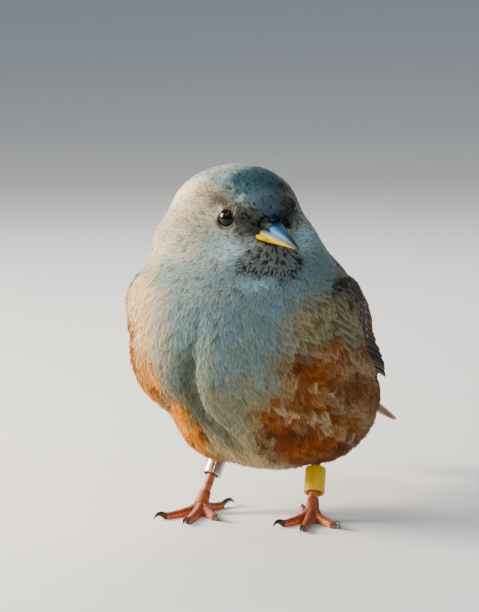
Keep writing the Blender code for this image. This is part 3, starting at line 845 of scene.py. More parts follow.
def quill(place, root, tip, half, draw, *, bend=0.0, narrow=1.0, point=2.2, rise=0.0, tilt=0.0, sink=0.35,
          paint, cell):
    """One long feather as a thin closed vane with a raised shaft.

    root and tip are places in the plane that place() maps. half is the greatest half width, narrow the
    outer vane's share of it, point how blunt the tip is, rise the height of its middle at the tip, tilt
    how much higher the lower edge lies than the upper, sink how much deeper its root lies, paint(t, v,
    from_tip, deep) its colours, and cell its patch of the baking map."""
    root, tip = np.array(root, float), np.array(tip, float) + draw.normal(0, LOOSE, 2)
    half = half * draw.uniform(0.93, 1.07)
    length = np.linalg.norm(tip - root)
    ahead = (tip - root) / length
    over = np.array((-ahead[1], ahead[0]))
    t, v = crossed(1 - (1 - np.linspace(0, 1, VANE_ROWS)) ** 1.35, VANE_COLUMNS)
    vane = np.where(v < 0, narrow, 1.0)
    close = np.clip((t - 0.72) / 0.28, 0, 1)
    width = half * (0.5 + 0.5 * ramp(t, 0.0, 0.32)) * (1 - close**point) ** (1 / 1.9)
    ragged = 1 + 0.035 * np.sin(t * length * 2.1 + draw.uniform(0, 6)) * np.abs(v) ** 4
    for _ in range(2):
        split, side = draw.uniform(0.35, 0.92), draw.choice((-1, 1))
        slot = bump_of(t - 0.04 * np.abs(v), split, 0.012) * (v * side > 0) * np.abs(v) ** 2
        ragged = ragged * (1 - draw.uniform(0.05, 0.25) * slot)
    aside = v * width * vane * ragged
    # barbs slant towards the tip, so the vane's edge points lie further on than its shaft's
    far = t * length + 0.45 * np.abs(aside) * (1 - close)
    bowed = aside + bend * 4 * t * (1 - t)
    p, q = (root[i] + ahead[i] * np.minimum(far, length) + over[i] * bowed for i in (0, 1))
    shaft = bump_of(v, 0, 0.12) * 0.10 * (1 - 0.7 * t)
    strands = 0.02 * np.sin(far * 6.0 - np.abs(aside) * 4) * (1 - bump_of(v, 0, 0.2))
    height = rise - sink * (1 - t) ** 1.5 - tilt * v + 0.06 * (1 - v * v) + shaft + strands
    upper, lower = place(p, q, height), place(p, q, height - QUILL_THICKNESS)
    deep = np.minimum((1 - np.abs(v)) * width * vane, (1 - t) * length * 0.8)
    tint = paint(t, v, (1 - t) * length, deep)
    slanted = np.stack((far - np.abs(aside) * 0.7, np.sign(v) * 9, 0 * t), -1).reshape(-1, 3)
    streak = 0.06 * waves(slanted, 0.9, int(draw.integers(1, 9999))).reshape(t.shape)
    tint = tint * (1 + streak + draw.normal(0, 0.03))[..., None]
    tint = mix(tint, tint * 0.45, bump_of(v, 0, 0.09) * (1 - 0.6 * t)).reshape(-1, 3)
    index = np.arange(t.size).reshape(t.shape)
    top = grid_faces(*t.shape, closed=False)
    edge = np.concatenate((index[:, 0], index[-1, 1:], index[-2::-1, -1], index[0, -2:0:-1]))
    after = np.roll(edge, -1)
    sides = np.stack((edge, edge + t.size, after + t.size, after), 1)
    faces = np.concatenate((top, top[:, ::-1] + t.size, sides))
    flat = np.stack((t * 0.9 + 0.05, (v + 1) / 2 * 0.9 + 0.05), -1).reshape(-1, 2)
    patch = (np.concatenate((flat, flat)) + (cell % 8, cell // 8)) / 8
    return np.concatenate((upper, lower)).reshape(-1, 3), faces, np.concatenate((tint, tint * 0.8)), patch


def painted(centre, fringe, breadth, tip=None, spot=0.0, outer_only=False):
    """A long feather's pattern: its centre, a fringe of the given breadth, and a spot at its tip."""

    def paint(t, v, from_tip, deep):
        edge = 1 - ramp(deep, breadth * 0.55, breadth * 1.15)
        if outer_only:
            edge = edge * np.where(v < 0, 1.0, 0.35)
        tint = mix(centre, fringe, edge)
        tint = mix(tint * 0.88, tint, ramp(t, 0.2, 0.7))
        if tip is not None:
            drop = from_tip + 1.3 * v * v * spot - spot
            tint = mix(tint, tip, 1 - ramp(drop, -0.25 * spot, 0.15 * spot))
        return tint

    return paint


BLACKISH, DUSK, UMBER = srgb(24, 20, 18), srgb(44, 33, 25), srgb(56, 40, 28)
BUFF, RUST, WHITISH = srgb(152, 122, 88), srgb(138, 84, 42), srgb(214, 208, 194)


def row_of(numbers, last, root, root_change, tip, tip_change, power=1.0):
    """The number, share, root and tip of each feather in a row, which change evenly along the row."""
    for i in numbers:
        share = i / last
        starts_at = (root[0] + root_change[0] * share, root[1] + root_change[1] * share)
        ends_at = (tip[0] + tip_change[0] * share**power, tip[1] + tip_change[1] * share)
        yield i, share, starts_at, ends_at


def wing_feathers(face, draw):
    """Every feather of one folded wing, from the deepest to the outermost, as shapes."""
    shapes = []

    def add(root, tip, half, rise, tilt, narrow, point, paint, bend=0.0):
        cell = len(shapes) % 64
        shapes.append(quill(face.place, root, tip, half, draw, bend=bend, narrow=narrow, point=point,
                            rise=rise, tilt=tilt, paint=paint, cell=cell))

    # primaries, the outermost lowest
    paint = painted(DUSK, BUFF, 0.32, srgb(120, 104, 88), 0.5, outer_only=True)
    for i, share, root, tip in row_of(range(9), 8, (28, -7.2), (0, 5.4), (89, -1.6), (-29, 0.4), 1.25):
        add(root, tip, 2.7 - 0.2 * share, -1.15 + 0.07 * i, 0.28, 0.5, 1.5, paint, -0.9)
    # secondaries
    paint = painted(DUSK, RUST, 0.6, srgb(150, 128, 104), 0.5, outer_only=True)
    for i, share, root, tip in row_of(range(6), 5, (21, -5.2), (0, 8.0), (61, -2.4), (-8, 5.4)):
        add(root, tip, 3.2, -0.58 + 0.07 * i, 0.28, 0.65, 2.6, paint, -0.5)
    # tertials
    paint = painted(UMBER, RUST, 1.25, BUFF, 1.1)
    for i, share, root, tip in row_of(range(3), 1, (19, 3.4), (-2, 2.2), (55.5, 3.4), (-7.5, 1.9)):
        add(root, tip, 3.9 - 0.2 * i, -0.16 + 0.15 * i, 0.30, 0.9, 2.4, paint, 0.6)
    # primary coverts
    paint = painted(BLACKISH, BUFF, 0.22, WHITISH, 0.7, outer_only=True)
    for i, share, root, tip in row_of(range(5), 4, (14, -8.8), (0, 3.2), (38, -8.6), (-3.5, 2.6)):
        add(root, tip, 1.9, -0.35 + 0.06 * i, 0.22, 0.7, 2.0, paint, -0.3)
    # greater coverts
    for i, share, root, tip in row_of(range(9), 8, (12, -6.4), (0, 13.0), (33.5, -6.0), (-2.5, 14.0)):
        centre, fringe = mix(BLACKISH, UMBER, share * 0.7), mix(srgb(84, 60, 38), RUST, share)
        paint = painted(centre, fringe, 0.32 + 0.45 * share, WHITISH, 0.95, outer_only=share < 0.5)
        add(root, tip, 2.2, -0.06 + 0.05 * i, 0.22, 0.8, 2.6, paint, 0.2)
    # median coverts
    paint = painted(BLACKISH, srgb(70, 56, 40), 0.3, WHITISH, 0.9)
    for i, share, root, tip in row_of(range(2, 9), 8, (6.5, -6.4), (0, 13.6), (19.5, -7.0), (-0.8, 16.2)):
        add(root, tip, 2.1, 0.20 + 0.04 * i, 0.18, 0.95, 2.8, paint)
    # lesser coverts, like tiles, which show on the left wing only
    paint = painted(srgb(46, 40, 32), srgb(104, 90, 66), 0.6, srgb(132, 118, 92), 0.3)
    for row in range(3 if face.sign > 0 else 0):
        for i in range(9):
            share = (i + 0.5 * (row % 2)) / 8.5
            if share >= 0.45:
                root = (1.2 + 2.88 * (2 - row), -6.0 + 13.0 * share)
                tip = (13.6 - 3.4 * row, -6.8 + 15.4 * share)
                add(root, tip, 1.9, 0.42 + 0.07 * row + 0.02 * i, 0.14, 1.0, 2.8, paint)
    return shapes


def wing(side, look):
    """The wing's feathers, and below them a dark core that fills the folded wing."""
    draw = np.random.default_rng(SEED + (7 if side == "left" else 8))
    face = WingFace(side)
    name = f"feathers_{side}_wing"
    show_closed(name, joined(wing_feathers(face, draw)), look)
    core = face.solid.points - face.solid.normals * 0.2
    core[:, 0] -= face.sign * CORE_INSET
    core -= WING_ALONG * (np.maximum(wing_place(core)[0] - CORE_END, 0) * CORE_SHORTENED)[:, None]
    low, size = core[:, 1:].min(0), np.ptp(core[:, 1:], axis=0).max()
    patch = (core[:, 1:] - low) / size * 0.9 + 0.05
    name = f"wing_core_{side}"
    mesh = mesh_of(name, core, face.solid.triangles, np.tile(DUSK * 0.8, (len(core), 1)), patch)
    show(name, mesh, look, (f"wing_{side}",))


def tail(look):
    """Twelve tail feathers, the middle pair on top."""
    draw = np.random.default_rng(SEED + 9)
    paint = painted(srgb(62, 46, 33), srgb(190, 122, 62), 0.7, srgb(222, 160, 98), 1.4)
    shapes = []
    for i in range(5, -1, -1):
        for sign in (-1, 1):
            length = 53.4 - 2.0 * (1 - i / 5) - 0.7 * (i == 5)
            root, tip = (1.0, sign * (0.9 + 0.62 * i)), (length, sign * (1.35 + 1.45 * i))
            rise = 0.95 - 0.22 * i + 0.05 * (sign > 0)
            shapes.append(quill(tail_place, root, tip, 2.75, draw, bend=sign * 0.15, point=2.3, rise=rise,
                                tilt=-0.22 * sign, sink=0.1, paint=paint, cell=len(shapes)))
    show_closed("feathers_tail", joined(shapes), look, ("tail",))


# --- markings ---
BODY_MIDDLE, DORSAL = np.array((0.0, 10.0, 42.0)), np.array((0.0, 0.47, 0.883))


class Paint:
    """A feather's colours at each point: its centre, its fringe, where across it the fringe begins,
    the share of feathers that have the fringe, and the share that are dark streaks."""

    def __init__(self, count):
        self.centre, self.fringe = np.zeros((2, count, 3))
        self.edge, self.fringed, self.streaked = np.zeros((3, count))

    def lay(self, share, centre, fringe, edge=0.5, fringed=1.0):
        """Paints these screen colours over the others, as strongly as the share says."""
        self.centre = mix(self.centre, srgb(*centre), share)
        self.fringe = mix(self.fringe, srgb(*fringe), share)
        self.edge = self.edge * (1 - share) + edge * share
        self.fringed = self.fringed * (1 - share) + fringed * share


def streaks(points, length, seed):
    """Smooth random numbers like waves(), drawn out along the way the body's feathers lie."""
    return waves(points * (1.0, 0.55, 0.42), length, seed)


def flank_share(points):
    """The chestnut sides: a ragged field below the wing that narrows towards the belly."""
    x, y, z = points.T
    inner = np.interp(z, (16, 25, 34, 41, 48, 53), (10.0, 9.5, 14.5, 18.6, 22.4, 25.0))
    outside = np.abs(x) + 0.35 * np.maximum(y, 0) - inner + 3.4 * streaks(points, 4.0, 5)
    outside = outside + 1.8 * ramp(-x, 0, 8) * ramp(37 - z, 0, 6)
    top = 49 + 3 * streaks(points, 6, 6)
    return ramp(outside, -3.0, 3.0) * (1 - ramp(z, top - 3, top + 3)) * (1 - ramp(y, 28, 40))


def markings(points):
    """The plumage's colours at each point, for the feathers and for the skin under them."""
    x, y, z = points.T
    f, l, u = in_head(points).T
    side, head = np.abs(l), headness(points)
    dorsal = dot(points - BODY_MIDDLE, DORSAL)
    back = ramp(dorsal, 5, 13)
    from_bill, from_eye = bill_and_eye(points)
    patchy, fine = waves(points, 5, 61), waves(points, 2.2, 62)
    coat = Paint(len(points))
    coat.lay(np.ones(len(points)), (96, 119, 121), (121, 141, 138))

    # breast and belly
    front = (1 - back) * (1 - head)
    grey_side = ramp(x + 2 * patchy, 11, 25) * ramp(z, 30, 42)
    coat.lay(front * grey_side * 0.9, (118, 114, 90), (156, 150, 124), 0.6)
    lit_side = ramp(-7 - x + 1.5 * patchy, 0, 15)
    coat.lay(front * lit_side * 0.95, (184, 156, 118), (210, 186, 148), 0.6)
    low = ramp(50 - z + 3 * patchy, 0, 19)
    coat.lay(front * low * 0.9, (102, 98, 72), (136, 132, 102), 0.55)
    lowest = ramp(27 - z + 2 * patchy, 0, 9)
    coat.lay(front * lowest, (156, 134, 94), (188, 168, 128), 0.55)
    olive = (1 - head) * ramp(x + 1.5 * patchy, 18, 23) * ramp(z, 42, 47) * (1 - ramp(z, 60, 65))
    coat.lay(olive * 0.9, (92, 80, 48), (158, 146, 110), 0.4, 0.8)
    flank = flank_share(points) * (1 - back)
    border = front * np.minimum(1, 2.2 * np.maximum(flank_share(points + (2.6, 0, 0)), flank))
    coat.lay(border * ramp(x, 0, 6) * 0.8, (96, 90, 62), (138, 130, 100))
    coat.lay(flank, (106, 47, 0), (142, 88, 28), 0.55, 0.6)
    # painted light: the flank on the bird's right, which faces the warm key lamp, is painted a brighter
    # orange than the flank in shade
    coat.lay(flank * ramp(-x, 6, 12), (208, 116, 0), (232, 168, 48), 0.6, 0.6)
    dark = flank * ramp(streaks(points, 6, 71), 0.05, 0.6)
    coat.lay(dark * 0.8, (70, 31, 0), (106, 60, 18), 0.6, 0.6)
    slope = z + 0.60 * np.abs(x) + 0.23 * y + 1.6 * waves(points, 6, 72)
    lines = [bump_of(slope, middle, 2.1) for middle in (57.5, 46.2, 37.6)]
    pale = flank * np.max(lines, axis=0) * ramp(fine, -1.5, 0.2)
    coat.lay(pale * 0.9, (112, 74, 34), (178, 156, 122), 0.34, 0.75)
    coat.lay(flank * ramp(x + patchy, 24.5, 27.5) * 0.35, (122, 82, 42), (164, 132, 92), 0.45)
    mossy = flank * ramp(streaks(points, 5, 73), 0.1, 0.7) * ramp(z, 34, 46)
    coat.lay(mossy * 0.8, (96, 82, 50), (158, 144, 110), 0.45, 0.8)
    vent = ramp(y, 26, 38) * (1 - back)
    coat.lay(vent, (74, 66, 58), (206, 200, 188), 0.45)
    # painted shade: the breast's furrow is painted darker, as the shade that falls in it
    shade = in_furrow(points, 2.6)
    coat.lay(front * shade * 0.75, (52, 62, 56), (84, 96, 88))

    # back, from the nape to the rump
    coat.lay(back * (1 - head), (42, 33, 25), (146, 128, 102), 0.42)
    nape = back * ramp(z, 58, 66)
    coat.lay(nape, (118, 116, 104), (158, 154, 138), 0.4)
    mantle = ramp(x, 11, 16) * ramp(y, -11, -4) * ramp(z, 53, 57) * (1 - ramp(z, 70, 76)) * (1 - head)
    coat.lay(mantle, (44, 38, 32), (110, 102, 86), 0.45, 0.8)
    rump = back * ramp(y, 28, 36)
    coat.lay(rump, (98, 84, 68), (140, 124, 102))

    # head
    coat.lay(head, (104, 120, 118), (158, 170, 162), 0.42)
    # painted light: the right side of the face and the back of the head, which face the warm key lamp, are
    # painted cream
    painted_warm_light = ramp(-l + 0.5 * f + 2 * patchy, 6, 15) * ramp(u, -11, -5) + ramp(-5 - f, 0, 4)
    coat.lay(head * np.minimum(1, painted_warm_light) * 0.85, (170, 156, 128), (206, 194, 168), 0.45)
    neck = ramp(-u, 8, 12) * ramp(f + 3 * fine, -4, 3)
    coat.lay(head * neck * 0.9, (96, 120, 122), (130, 148, 148))
    brow = bump_of(u, 5.6, 2.8) * bump_of(l, -9.5, 4.5) * bump_of(f, -1, 7)
    coat.lay(head * brow * 0.8, (128, 108, 78), (206, 188, 154), 0.35, 0.8)
    # painted light: the top of the back of the head, which faces the key lamp, is painted a pale cream
    painted_lit_rear = ramp(-4 - f + fine, 0, 5) * ramp(u, -2, 4)
    coat.lay(head * painted_lit_rear * 0.8, (210, 198, 174), (240, 232, 214), 0.4)
    mottled = ramp(8.5 - np.abs(l - 1.0), -2, 2) * ramp(u, 2.5, 5)
    coat.lay(head * mottled * 0.85, (96, 120, 124), (164, 182, 178), 0.42, 0.8)
    # partly painted shade: the crown's own colour is blue-grey; it is painted dark slate, and the slate
    # reaches far down the left side of the head, which lies in shade
    near_edge = l + 4.4 - 1.8 * np.maximum(-1 - f, 0) + 1.3 * patchy + 1.5 * fine
    crown = ramp(near_edge, -2.2, 2.0) * ramp(u + 0.12 * l, -0.5, 2.0) * ramp(f + 2 * patchy + fine, -15, -7)
    crown = crown * (1 - ramp(l + 1.5 * patchy, 9, 15))
    coat.lay(head * crown, (16, 38, 48), (58, 102, 116), 0.3, 0.9)
    coat.lay(head * crown * ramp(f, 5, 10), (40, 62, 70), (94, 122, 130), 0.35)
    ear = bump_of(f, -2.0, 7.0) * bump_of(side, 14.5, 5.5) * bump_of(u, -0.5, 4.2)
    coat.lay(head * ear * 0.8, (104, 92, 66), (170, 160, 130), 0.42)
    below = bump_of(f, 3, 9) * bump_of(side, 13, 6) * bump_of(u, -6.5, 3.4)
    coat.lay(head * below * 0.7, (104, 114, 108), (160, 168, 156), 0.4)
    cheek = bump_of(f, 6.0, 5.5) * bump_of(side, 11.8, 4.0) * bump_of(u, -3.4, 4.8)
    coat.lay(head * np.minimum(1, 1.4 * cheek) * 0.85, (84, 94, 90), (138, 146, 136), 0.45)
    malar = bump_of(f, 10, 6) * bump_of(side, 10.5, 4.5) * bump_of(u, -6.0, 3.4)
    coat.lay(head * malar * 0.9, (128, 166, 176), (196, 222, 226), 0.42)
    bib_shape = 1 - ((l + 2.0) / 8.8) ** 2 - ((u + 10.0) / 5.2) ** 2 + 0.25 * patchy
    throat = ramp(bib_shape, -0.15, 0.35) * ramp(f, 6, 9)
    coat.lay(throat * 0.95, (34, 34, 32), (142, 152, 146), 0.5, 0.75)
    bib = bump_of(l, 0.5, 3.5) * bump_of(u, -5.2, 1.7) * ramp(f, 8, 12)
    coat.lay(bib * 0.9, (70, 56, 38), (120, 104, 78), 0.45)
    gorget = bump_of(l, -6.8, 4.0) * bump_of(u, -14.0, 1.3) * ramp(f, 8, 11)
    coat.lay(gorget * 0.95, (110, 158, 186), (184, 214, 228), 0.3)
    lore = bump_of(f, 11.0, 4.0) * bump_of(side, 6.8, 3.8) * bump_of(u, 0.2, 3.2)
    lore = np.minimum(1, lore * 1.5)
    coat.lay(head * lore * ramp(fine, -1.9, -0.3), (24, 24, 22), (104, 100, 84), 0.5, 0.6)
    places = np.stack((f, side, u), 1)
    to_gape = off_line(places, (9.8, 8.7, 1.0), (13.2, 5.5, -1.6))
    coat.lay(head * bump_of(to_gape, 0, 1.9), (10, 10, 10), (74, 70, 60), 0.6)
    over_eye = off_line(places, (2.0, 9.4, 5.6), (11.0, 5.2, 1.2))
    coat.lay(head * bump_of(over_eye, 0, 2.4), (14, 16, 16), (76, 78, 70), 0.55, 0.75)
    under = bump_of(f, 9.0, 3.6) * bump_of(side, 9.4, 3.0) * bump_of(u, -1.9, 2.1)
    coat.lay(head * under * 0.95, (46, 48, 44), (168, 170, 152), 0.5, 0.8)
    rim = ramp(4.5 - from_eye, 0, 0.6) * (1 - 0.9 * bump_of(f, 9.2, 1.8)) * (1 - 0.7 * ramp(l, 0, 4))
    rim = rim * (1 - 0.8 * ramp(u, 2.4, 4.2))
    coat.lay(head * rim * 0.8, (120, 112, 92), (212, 204, 180), 0.3)
    collar = ramp(5.8 - from_bill, 0, 1.2) * ramp(u, -3.6, -2.2)
    coat.lay(collar * 0.95, (16, 22, 26), (48, 60, 64), 0.5, 0.8)
    coat.streaked = head * (1 - crown) * (1 - throat) * (0.13 + 0.4 * lore)
    return coat


# --- the lie and size of the feathers ---
TAILWARD = unit(np.array((0.0, 0.80, -0.60)))
THROAT = np.array((1.0, -4.0, 68.0))
KNOTS = 5  # points along a feather's spine


def nasal(points):
    """1 where the bristly feathers grow that lie forwards over the bill's base, from above."""
    from_bill = distance(points, BILL_ROOT) + 0.45 * waves(points, 1.7, 77)
    return ramp(5.2 - from_bill, 0, 0.8) * ramp(in_head(points)[:, 2], -1.6, -0.4)


def laid_flat(directions, normals):
    """Directions turned flat onto the surfaces that face the given ways."""
    return unit(directions - normals * dot(directions, normals)[:, None])


def lie(points, normals):
    """The direction in which feathers lie: away from the bill on the head, towards the tail behind it."""
    on_head = unit(points - BILL_ROOT) * 0.8 - FORWARD * 0.4
    spread = 1 - ramp(distance(points, THROAT), 22, 46)
    on_body = TAILWARD + unit(points - THROAT) * spread[:, None] * 0.9
    flow = mix(mix(on_body, on_head, headness(points)), FORWARD, nasal(points))
    flow = laid_flat(flow, normals)
    for eye in EYES.values():
        out = laid_flat(points - eye, normals)
        inward = np.minimum(dot(flow, out), 0) * ramp(7.5 - distance(points, eye), 0, 3.0)
        flow = unit(flow - out * inward[:, None] * 1.15)
    return flow


def turned(directions, normals, angles):
    """Directions turned about their normals by angles in radians."""
    across = np.cross(normals, directions)
    return directions * np.cos(angles)[:, None] + across * np.sin(angles)[:, None]


def feather_length(points):
    """How long the feathers are: shortest at the bill and the eyes, longest on the flanks and the belly."""
    from_bill, from_eye = bill_and_eye(points)
    head = np.minimum(1.15 + 0.155 * np.maximum(from_bill - 2.5, 0), 0.95 + 0.62 * (from_eye - 2.6))
    head = np.clip(head, 1.0, 5.6) + 0.35 * nasal(points)
    dorsal = dot(points - BODY_MIDDLE, DORSAL)
    body = 7.4 + 2.0 * ramp(40 - points[:, 2], 0, 16) + 1.8 * flank_share(points)
    body += 1.6 * ramp(points[:, 1], 26, 40) - 0.8 * ramp(dorsal, 4, 12)
    body *= 1 - 0.3 * ramp(points[:, 2], 58, 68)
    return mix(body[:, None], head[:, None], headness(points))[:, 0]


def spacing_of(lengths):
    """How far apart feathers of the given lengths grow."""
    return 0.24 + 0.102 * lengths


def kept_apart(points, gaps):
    """Indices of points, taken in order, that keep at least their own gap from all those already taken."""
    cell = float(gaps.max())
    taken, grid = [], {}
    cells = np.floor(points / cell).astype(int).tolist()
    near = [(i, j, k) for i in (-1, 0, 1) for j in (-1, 0, 1) for k in (-1, 0, 1)]
    for index, ((x, y, z), (a, b, c), gap) in enumerate(zip(points.tolist(), cells, gaps.tolist())):
        others = (place for i, j, k in near for place in grid.get((a + i, b + j, c + k), ()))
        if all((p - x) ** 2 + (q - y) ** 2 + (r - z) ** 2 >= gap * gap for p, q, r in others):
            grid.setdefault((a, b, c), []).append((x, y, z))
            taken.append(index)
    return np.array(taken)


# --- one batch of body feathers ---
class Feathers:
    """Many feathers of one build: their spines, widths and colours."""

    def __init__(self, coat, skin_map, roots, draw, over_wing):
        count = len(roots)
        points, normals, _ = coat.nearest(roots)
        self.roots, self.length = points, feather_length(points) * draw.uniform(0.86, 1.14, count)
        self.patch = skin_map.read(points)
        self.width = 0.28 * self.length * draw.uniform(0.85, 1.15, count)
        veer = draw.normal(0, 0.08, count) + 0.26 * waves(points, 9, 21)
        spine, ups = [points], [normals]
        for _ in range(KNOTS - 1):
            heading = turned(lie(points, normals), normals, veer)
            points, normals, _ = coat.nearest(points + heading * (self.length / (KNOTS - 1))[:, None])
            spine.append(points)
            ups.append(normals)
        self.ups = np.stack(ups, 1)
        t = np.linspace(0, 1, KNOTS)
        depth = np.clip(0.13 * self.length, 0.14, 1.25)
        lift = self.length * (0.008 + 0.022 * draw.random(count) ** 2)
        height = -depth[:, None] * (1 - t) ** 1.3 + lift[:, None] * t**2 + over_wing[:, None]
        height = height - 0.9 * (nasal(points) * ramp(in_head(self.roots)[:, 0], 9, 12))[:, None] * t
        self.spine = np.stack(spine, 1) + self.ups * height[..., None]
        self.across = unit(np.cross(unit(np.gradient(self.spine, axis=1)), self.ups))
        self.bow = np.where(headness(self.roots) > 0.5, 10.0, 24.0)  # radius of the feather's own arch
        self.colour(draw)

    def colour(self, draw):
        """Takes each feather's colours from the markings at its middle, with a little chance."""
        count = len(self.roots)
        mid = self.spine[:, KNOTS // 2 + 1]
        coat = markings(mid)
        mottle = 1 + 0.07 * waves(mid, 4, 31) + draw.normal(0, 0.045, count)
        warmth = (0.7 * waves(mid, 7, 41) + draw.normal(0, 0.35, count))[:, None]
        mottle = mottle[:, None] * (1 + warmth * (0.09, 0.01, -0.10))
        plain = draw.random(count) > coat.fringed
        coat.fringe[plain] = coat.centre[plain] * 1.12
        draw.random(count)  # not used, but the draws after it would change without it
        mottle[draw.random(count) < coat.streaked] *= 0.62
        self.centre, self.fringe, self.edge = coat.centre * mottle, coat.fringe * mottle, coat.edge
        parting = np.minimum(1, 5 * nasal(self.roots) * (1 - nasal(self.roots)))
        self.down = mix(mix(coat.centre, srgb(72, 74, 76), 0.6) * 0.6, coat.centre, parting)

    # below, t and what goes with it have three axes: the feather, the barb or row, and the place on it

    def along(self, rows, t):
        """Rows for each knot, read at shares t of the length, and carried on straight past the tip."""
        place = np.clip(t, 0, 1) * (KNOTS - 1)
        i = np.minimum(place.astype(int), KNOTS - 2)
        share = (t * (KNOTS - 1) - i)[..., None]
        own = np.arange(len(rows))[:, None, None]
        return rows[own, i] * (1 - share) + rows[own, i + 1] * share

    def at(self, t, aside, rise):
        """Points at shares t of the length, aside millimetres from the shaft, rise above it."""
        height = rise - aside**2 / (2 * self.bow[:, None, None])
        level = self.along(self.spine, t) + self.along(self.across, t) * aside[..., None]
        return level + self.along(self.ups, t) * height[..., None]

    def colours(self, t, edge, shade):
        """The pattern: down at the root, the centre's colour, and the fringe towards the edge."""
        centre, fringe, down = (rows[:, None, None] for rows in (self.centre, self.fringe, self.down))
        start = self.edge[:, None, None]
        worn = mix(centre, fringe, ramp(edge, start, start + 0.3))
        return mix(down, worn, ramp(t, 0.15, 0.5)) * shade[..., None]

    def patches(self, t, aside):
        """Places on the baking map: a patch for each feather, at its root."""
        across = aside / (2 * self.width[:, None, None] + 1e-6)
        return self.patch[:, None, None] + PATCH * np.stack((across, t - 0.5), -1)


PATCH = 0.003  # size of a feather's patch on the baking map


def outline(t):
    """A body feather's half width along its length, as a share of its greatest."""
    return np.sin(math.pi * np.clip(t, 0, 1) ** 0.75) ** 0.62


def barbs(feathers, per_side, joints, thickness, draw):
    """The fan of thin barbs on both sides of each shaft."""
    count = len(feathers.roots)
    n = 2 * per_side
    begin = np.tile(np.linspace(0.05, 0.88, per_side), 2)[None, :] + draw.uniform(-0.03, 0.03, (count, n))
    sign = np.repeat((-1.0, 1.0), per_side)[None, :]
    end = begin + (1.08 - begin) * draw.uniform(0.62, 0.95, (count, n))
    reach = outline(end) * feathers.width[:, None] * draw.uniform(0.86, 1.12, (count, n)) + 0.03
    u = np.linspace(0, 1, joints + 1)
    t = begin[..., None] + (end - begin)[..., None] * u
    aside = (sign * reach)[..., None] * (1 - (1 - u) ** 1.8)
    frizz = draw.normal(0.0, 0.014, (count, n)) * feathers.length[:, None]
    middle = feathers.at(t, aside, frizz[..., None] * u**2 + 0.03)
    run = unit(np.gradient(middle, axis=2))
    up = feathers.along(feathers.ups, t)
    tilt = draw.normal(0, 0.25, (count, n))[..., None, None]
    blade = unit(np.cross(up, run)) * np.cos(tilt) + up * np.sin(tilt)
    half = thickness * (feathers.length[:, None, None] ** 0.35) * (1 - 0.72 * u) / 2
    blade = blade * (half * draw.uniform(0.75, 1.2, (count, n))[..., None])[..., None]
    points = np.stack((middle - blade, middle + blade), 3).reshape(-1, 3)
    shade = np.clip(draw.normal(1, 0.22, (count, n)), 0.45, 1.7)[..., None] * (0.94 + 0.12 * u)
    edge = u * 0.9 + 0.1 * ramp(begin, 0.7, 0.9)[..., None]
    strip = np.arange(joints)[:, None] * 2 + np.array((1, 0, 2, 3))
    blocks = np.arange(count * n)[:, None, None] * (2 * (joints + 1))
    carried = (feathers.colours(t, edge, shade), feathers.patches(t, aside), up)
    tint, patch, facing = (np.repeat(rows.reshape(-1, rows.shape[-1]), 2, axis=0) for rows in carried)
    return points, (blocks + strip).reshape(-1, 4), tint, patch, facing


def vanes(feathers, rows):
    """The opaque middle of each feather, below its barbs."""
    count = len(feathers.roots)
    t = np.broadcast_to(np.linspace(0.0, 0.93, rows + 1)[None, :, None], (count, rows + 1, 3))
    column = np.broadcast_to(np.array((-1.0, 0.0, 1.0)), t.shape)
    aside = column * (outline(np.clip(t, 0.06, 1)) * feathers.width[:, None, None] * 0.74)
    points = feathers.at(t, aside, np.full(t.shape, -0.05))
    edge = np.maximum(np.abs(column) * 0.7, ramp(t, 0.7, 1.0) * 0.8)
    cells = [(3 * r + c, 3 * r + c + 1, 3 * r + c + 4, 3 * r + c + 3) for r in range(rows) for c in (0, 1)]
    faces = np.arange(count)[:, None, None] * (3 * (rows + 1)) + np.array(cells)
    tint = feathers.colours(t, edge, np.full(t.shape, 0.86))
    carried = (tint, feathers.patches(t, aside), feathers.along(feathers.ups, t))
    carried = (values.reshape(-1, values.shape[-1]) for values in carried)
    return points.reshape(-1, 3), faces.reshape(-1, 4), *carried


def joined(parts):
    """The rows of several shapes as those of one: points, faces, and what each point carries."""
    faces, start = [], 0
    for points, own, *_ in parts:
        faces.append(own + start)
        start += len(points)
    points, _, *carried = (np.vstack(rows) for rows in zip(*parts))
    return (points, np.vstack(faces), *carried)


# name: (longest feather, barbs a side, joints of a barb, barb's thickness, rows of the vane)
BUILDS = {
    "fine": (2.3, 5, 1, 0.085, 2),
    "short": (5.2, 9, 2, 0.085, 3),
    "long": (99.0, 15, 2, 0.09, 4),
}
MOST_TRIANGLES = 190_000  # in one piece of the coat
STREWN, STREWN_ON_HEAD = 150_000, 360_000  # places tried: everywhere, and again for the head alone
OFF_LIDS, OVER_LIDS = 0.06, -0.62  # how far outside the lids feathers root: most, and those that lead away
OVER_WING = 0.75  # how far the feathers that overlap a wing stand out from it


def outside_lids(points, coat):
    """Whether a feather may be rooted at each point: not in an eye's opening, nor lying over it."""
    clear = np.ones(len(points), bool)
    for side, eye in EYES.items():
        out, axis = points - eye, eye_axes(side)[0]
        along = out @ axis
        outward = out - along[:, None] * axis
        aside = np.linalg.norm(outward, axis=1)
        close = np.flatnonzero((aside < 5) & (along > 0) & (along < 8))
        at, normals, _ = coat.nearest(points[close])
        leaving = dot(lie(at, normals), unit(outward[close]))
        margin = np.where(leaving > 0.3, OVER_LIDS, OFF_LIDS)
        clear[close] = aside[close] > EYE_RADIUS * math.sin(LIDS) + margin
    return clear


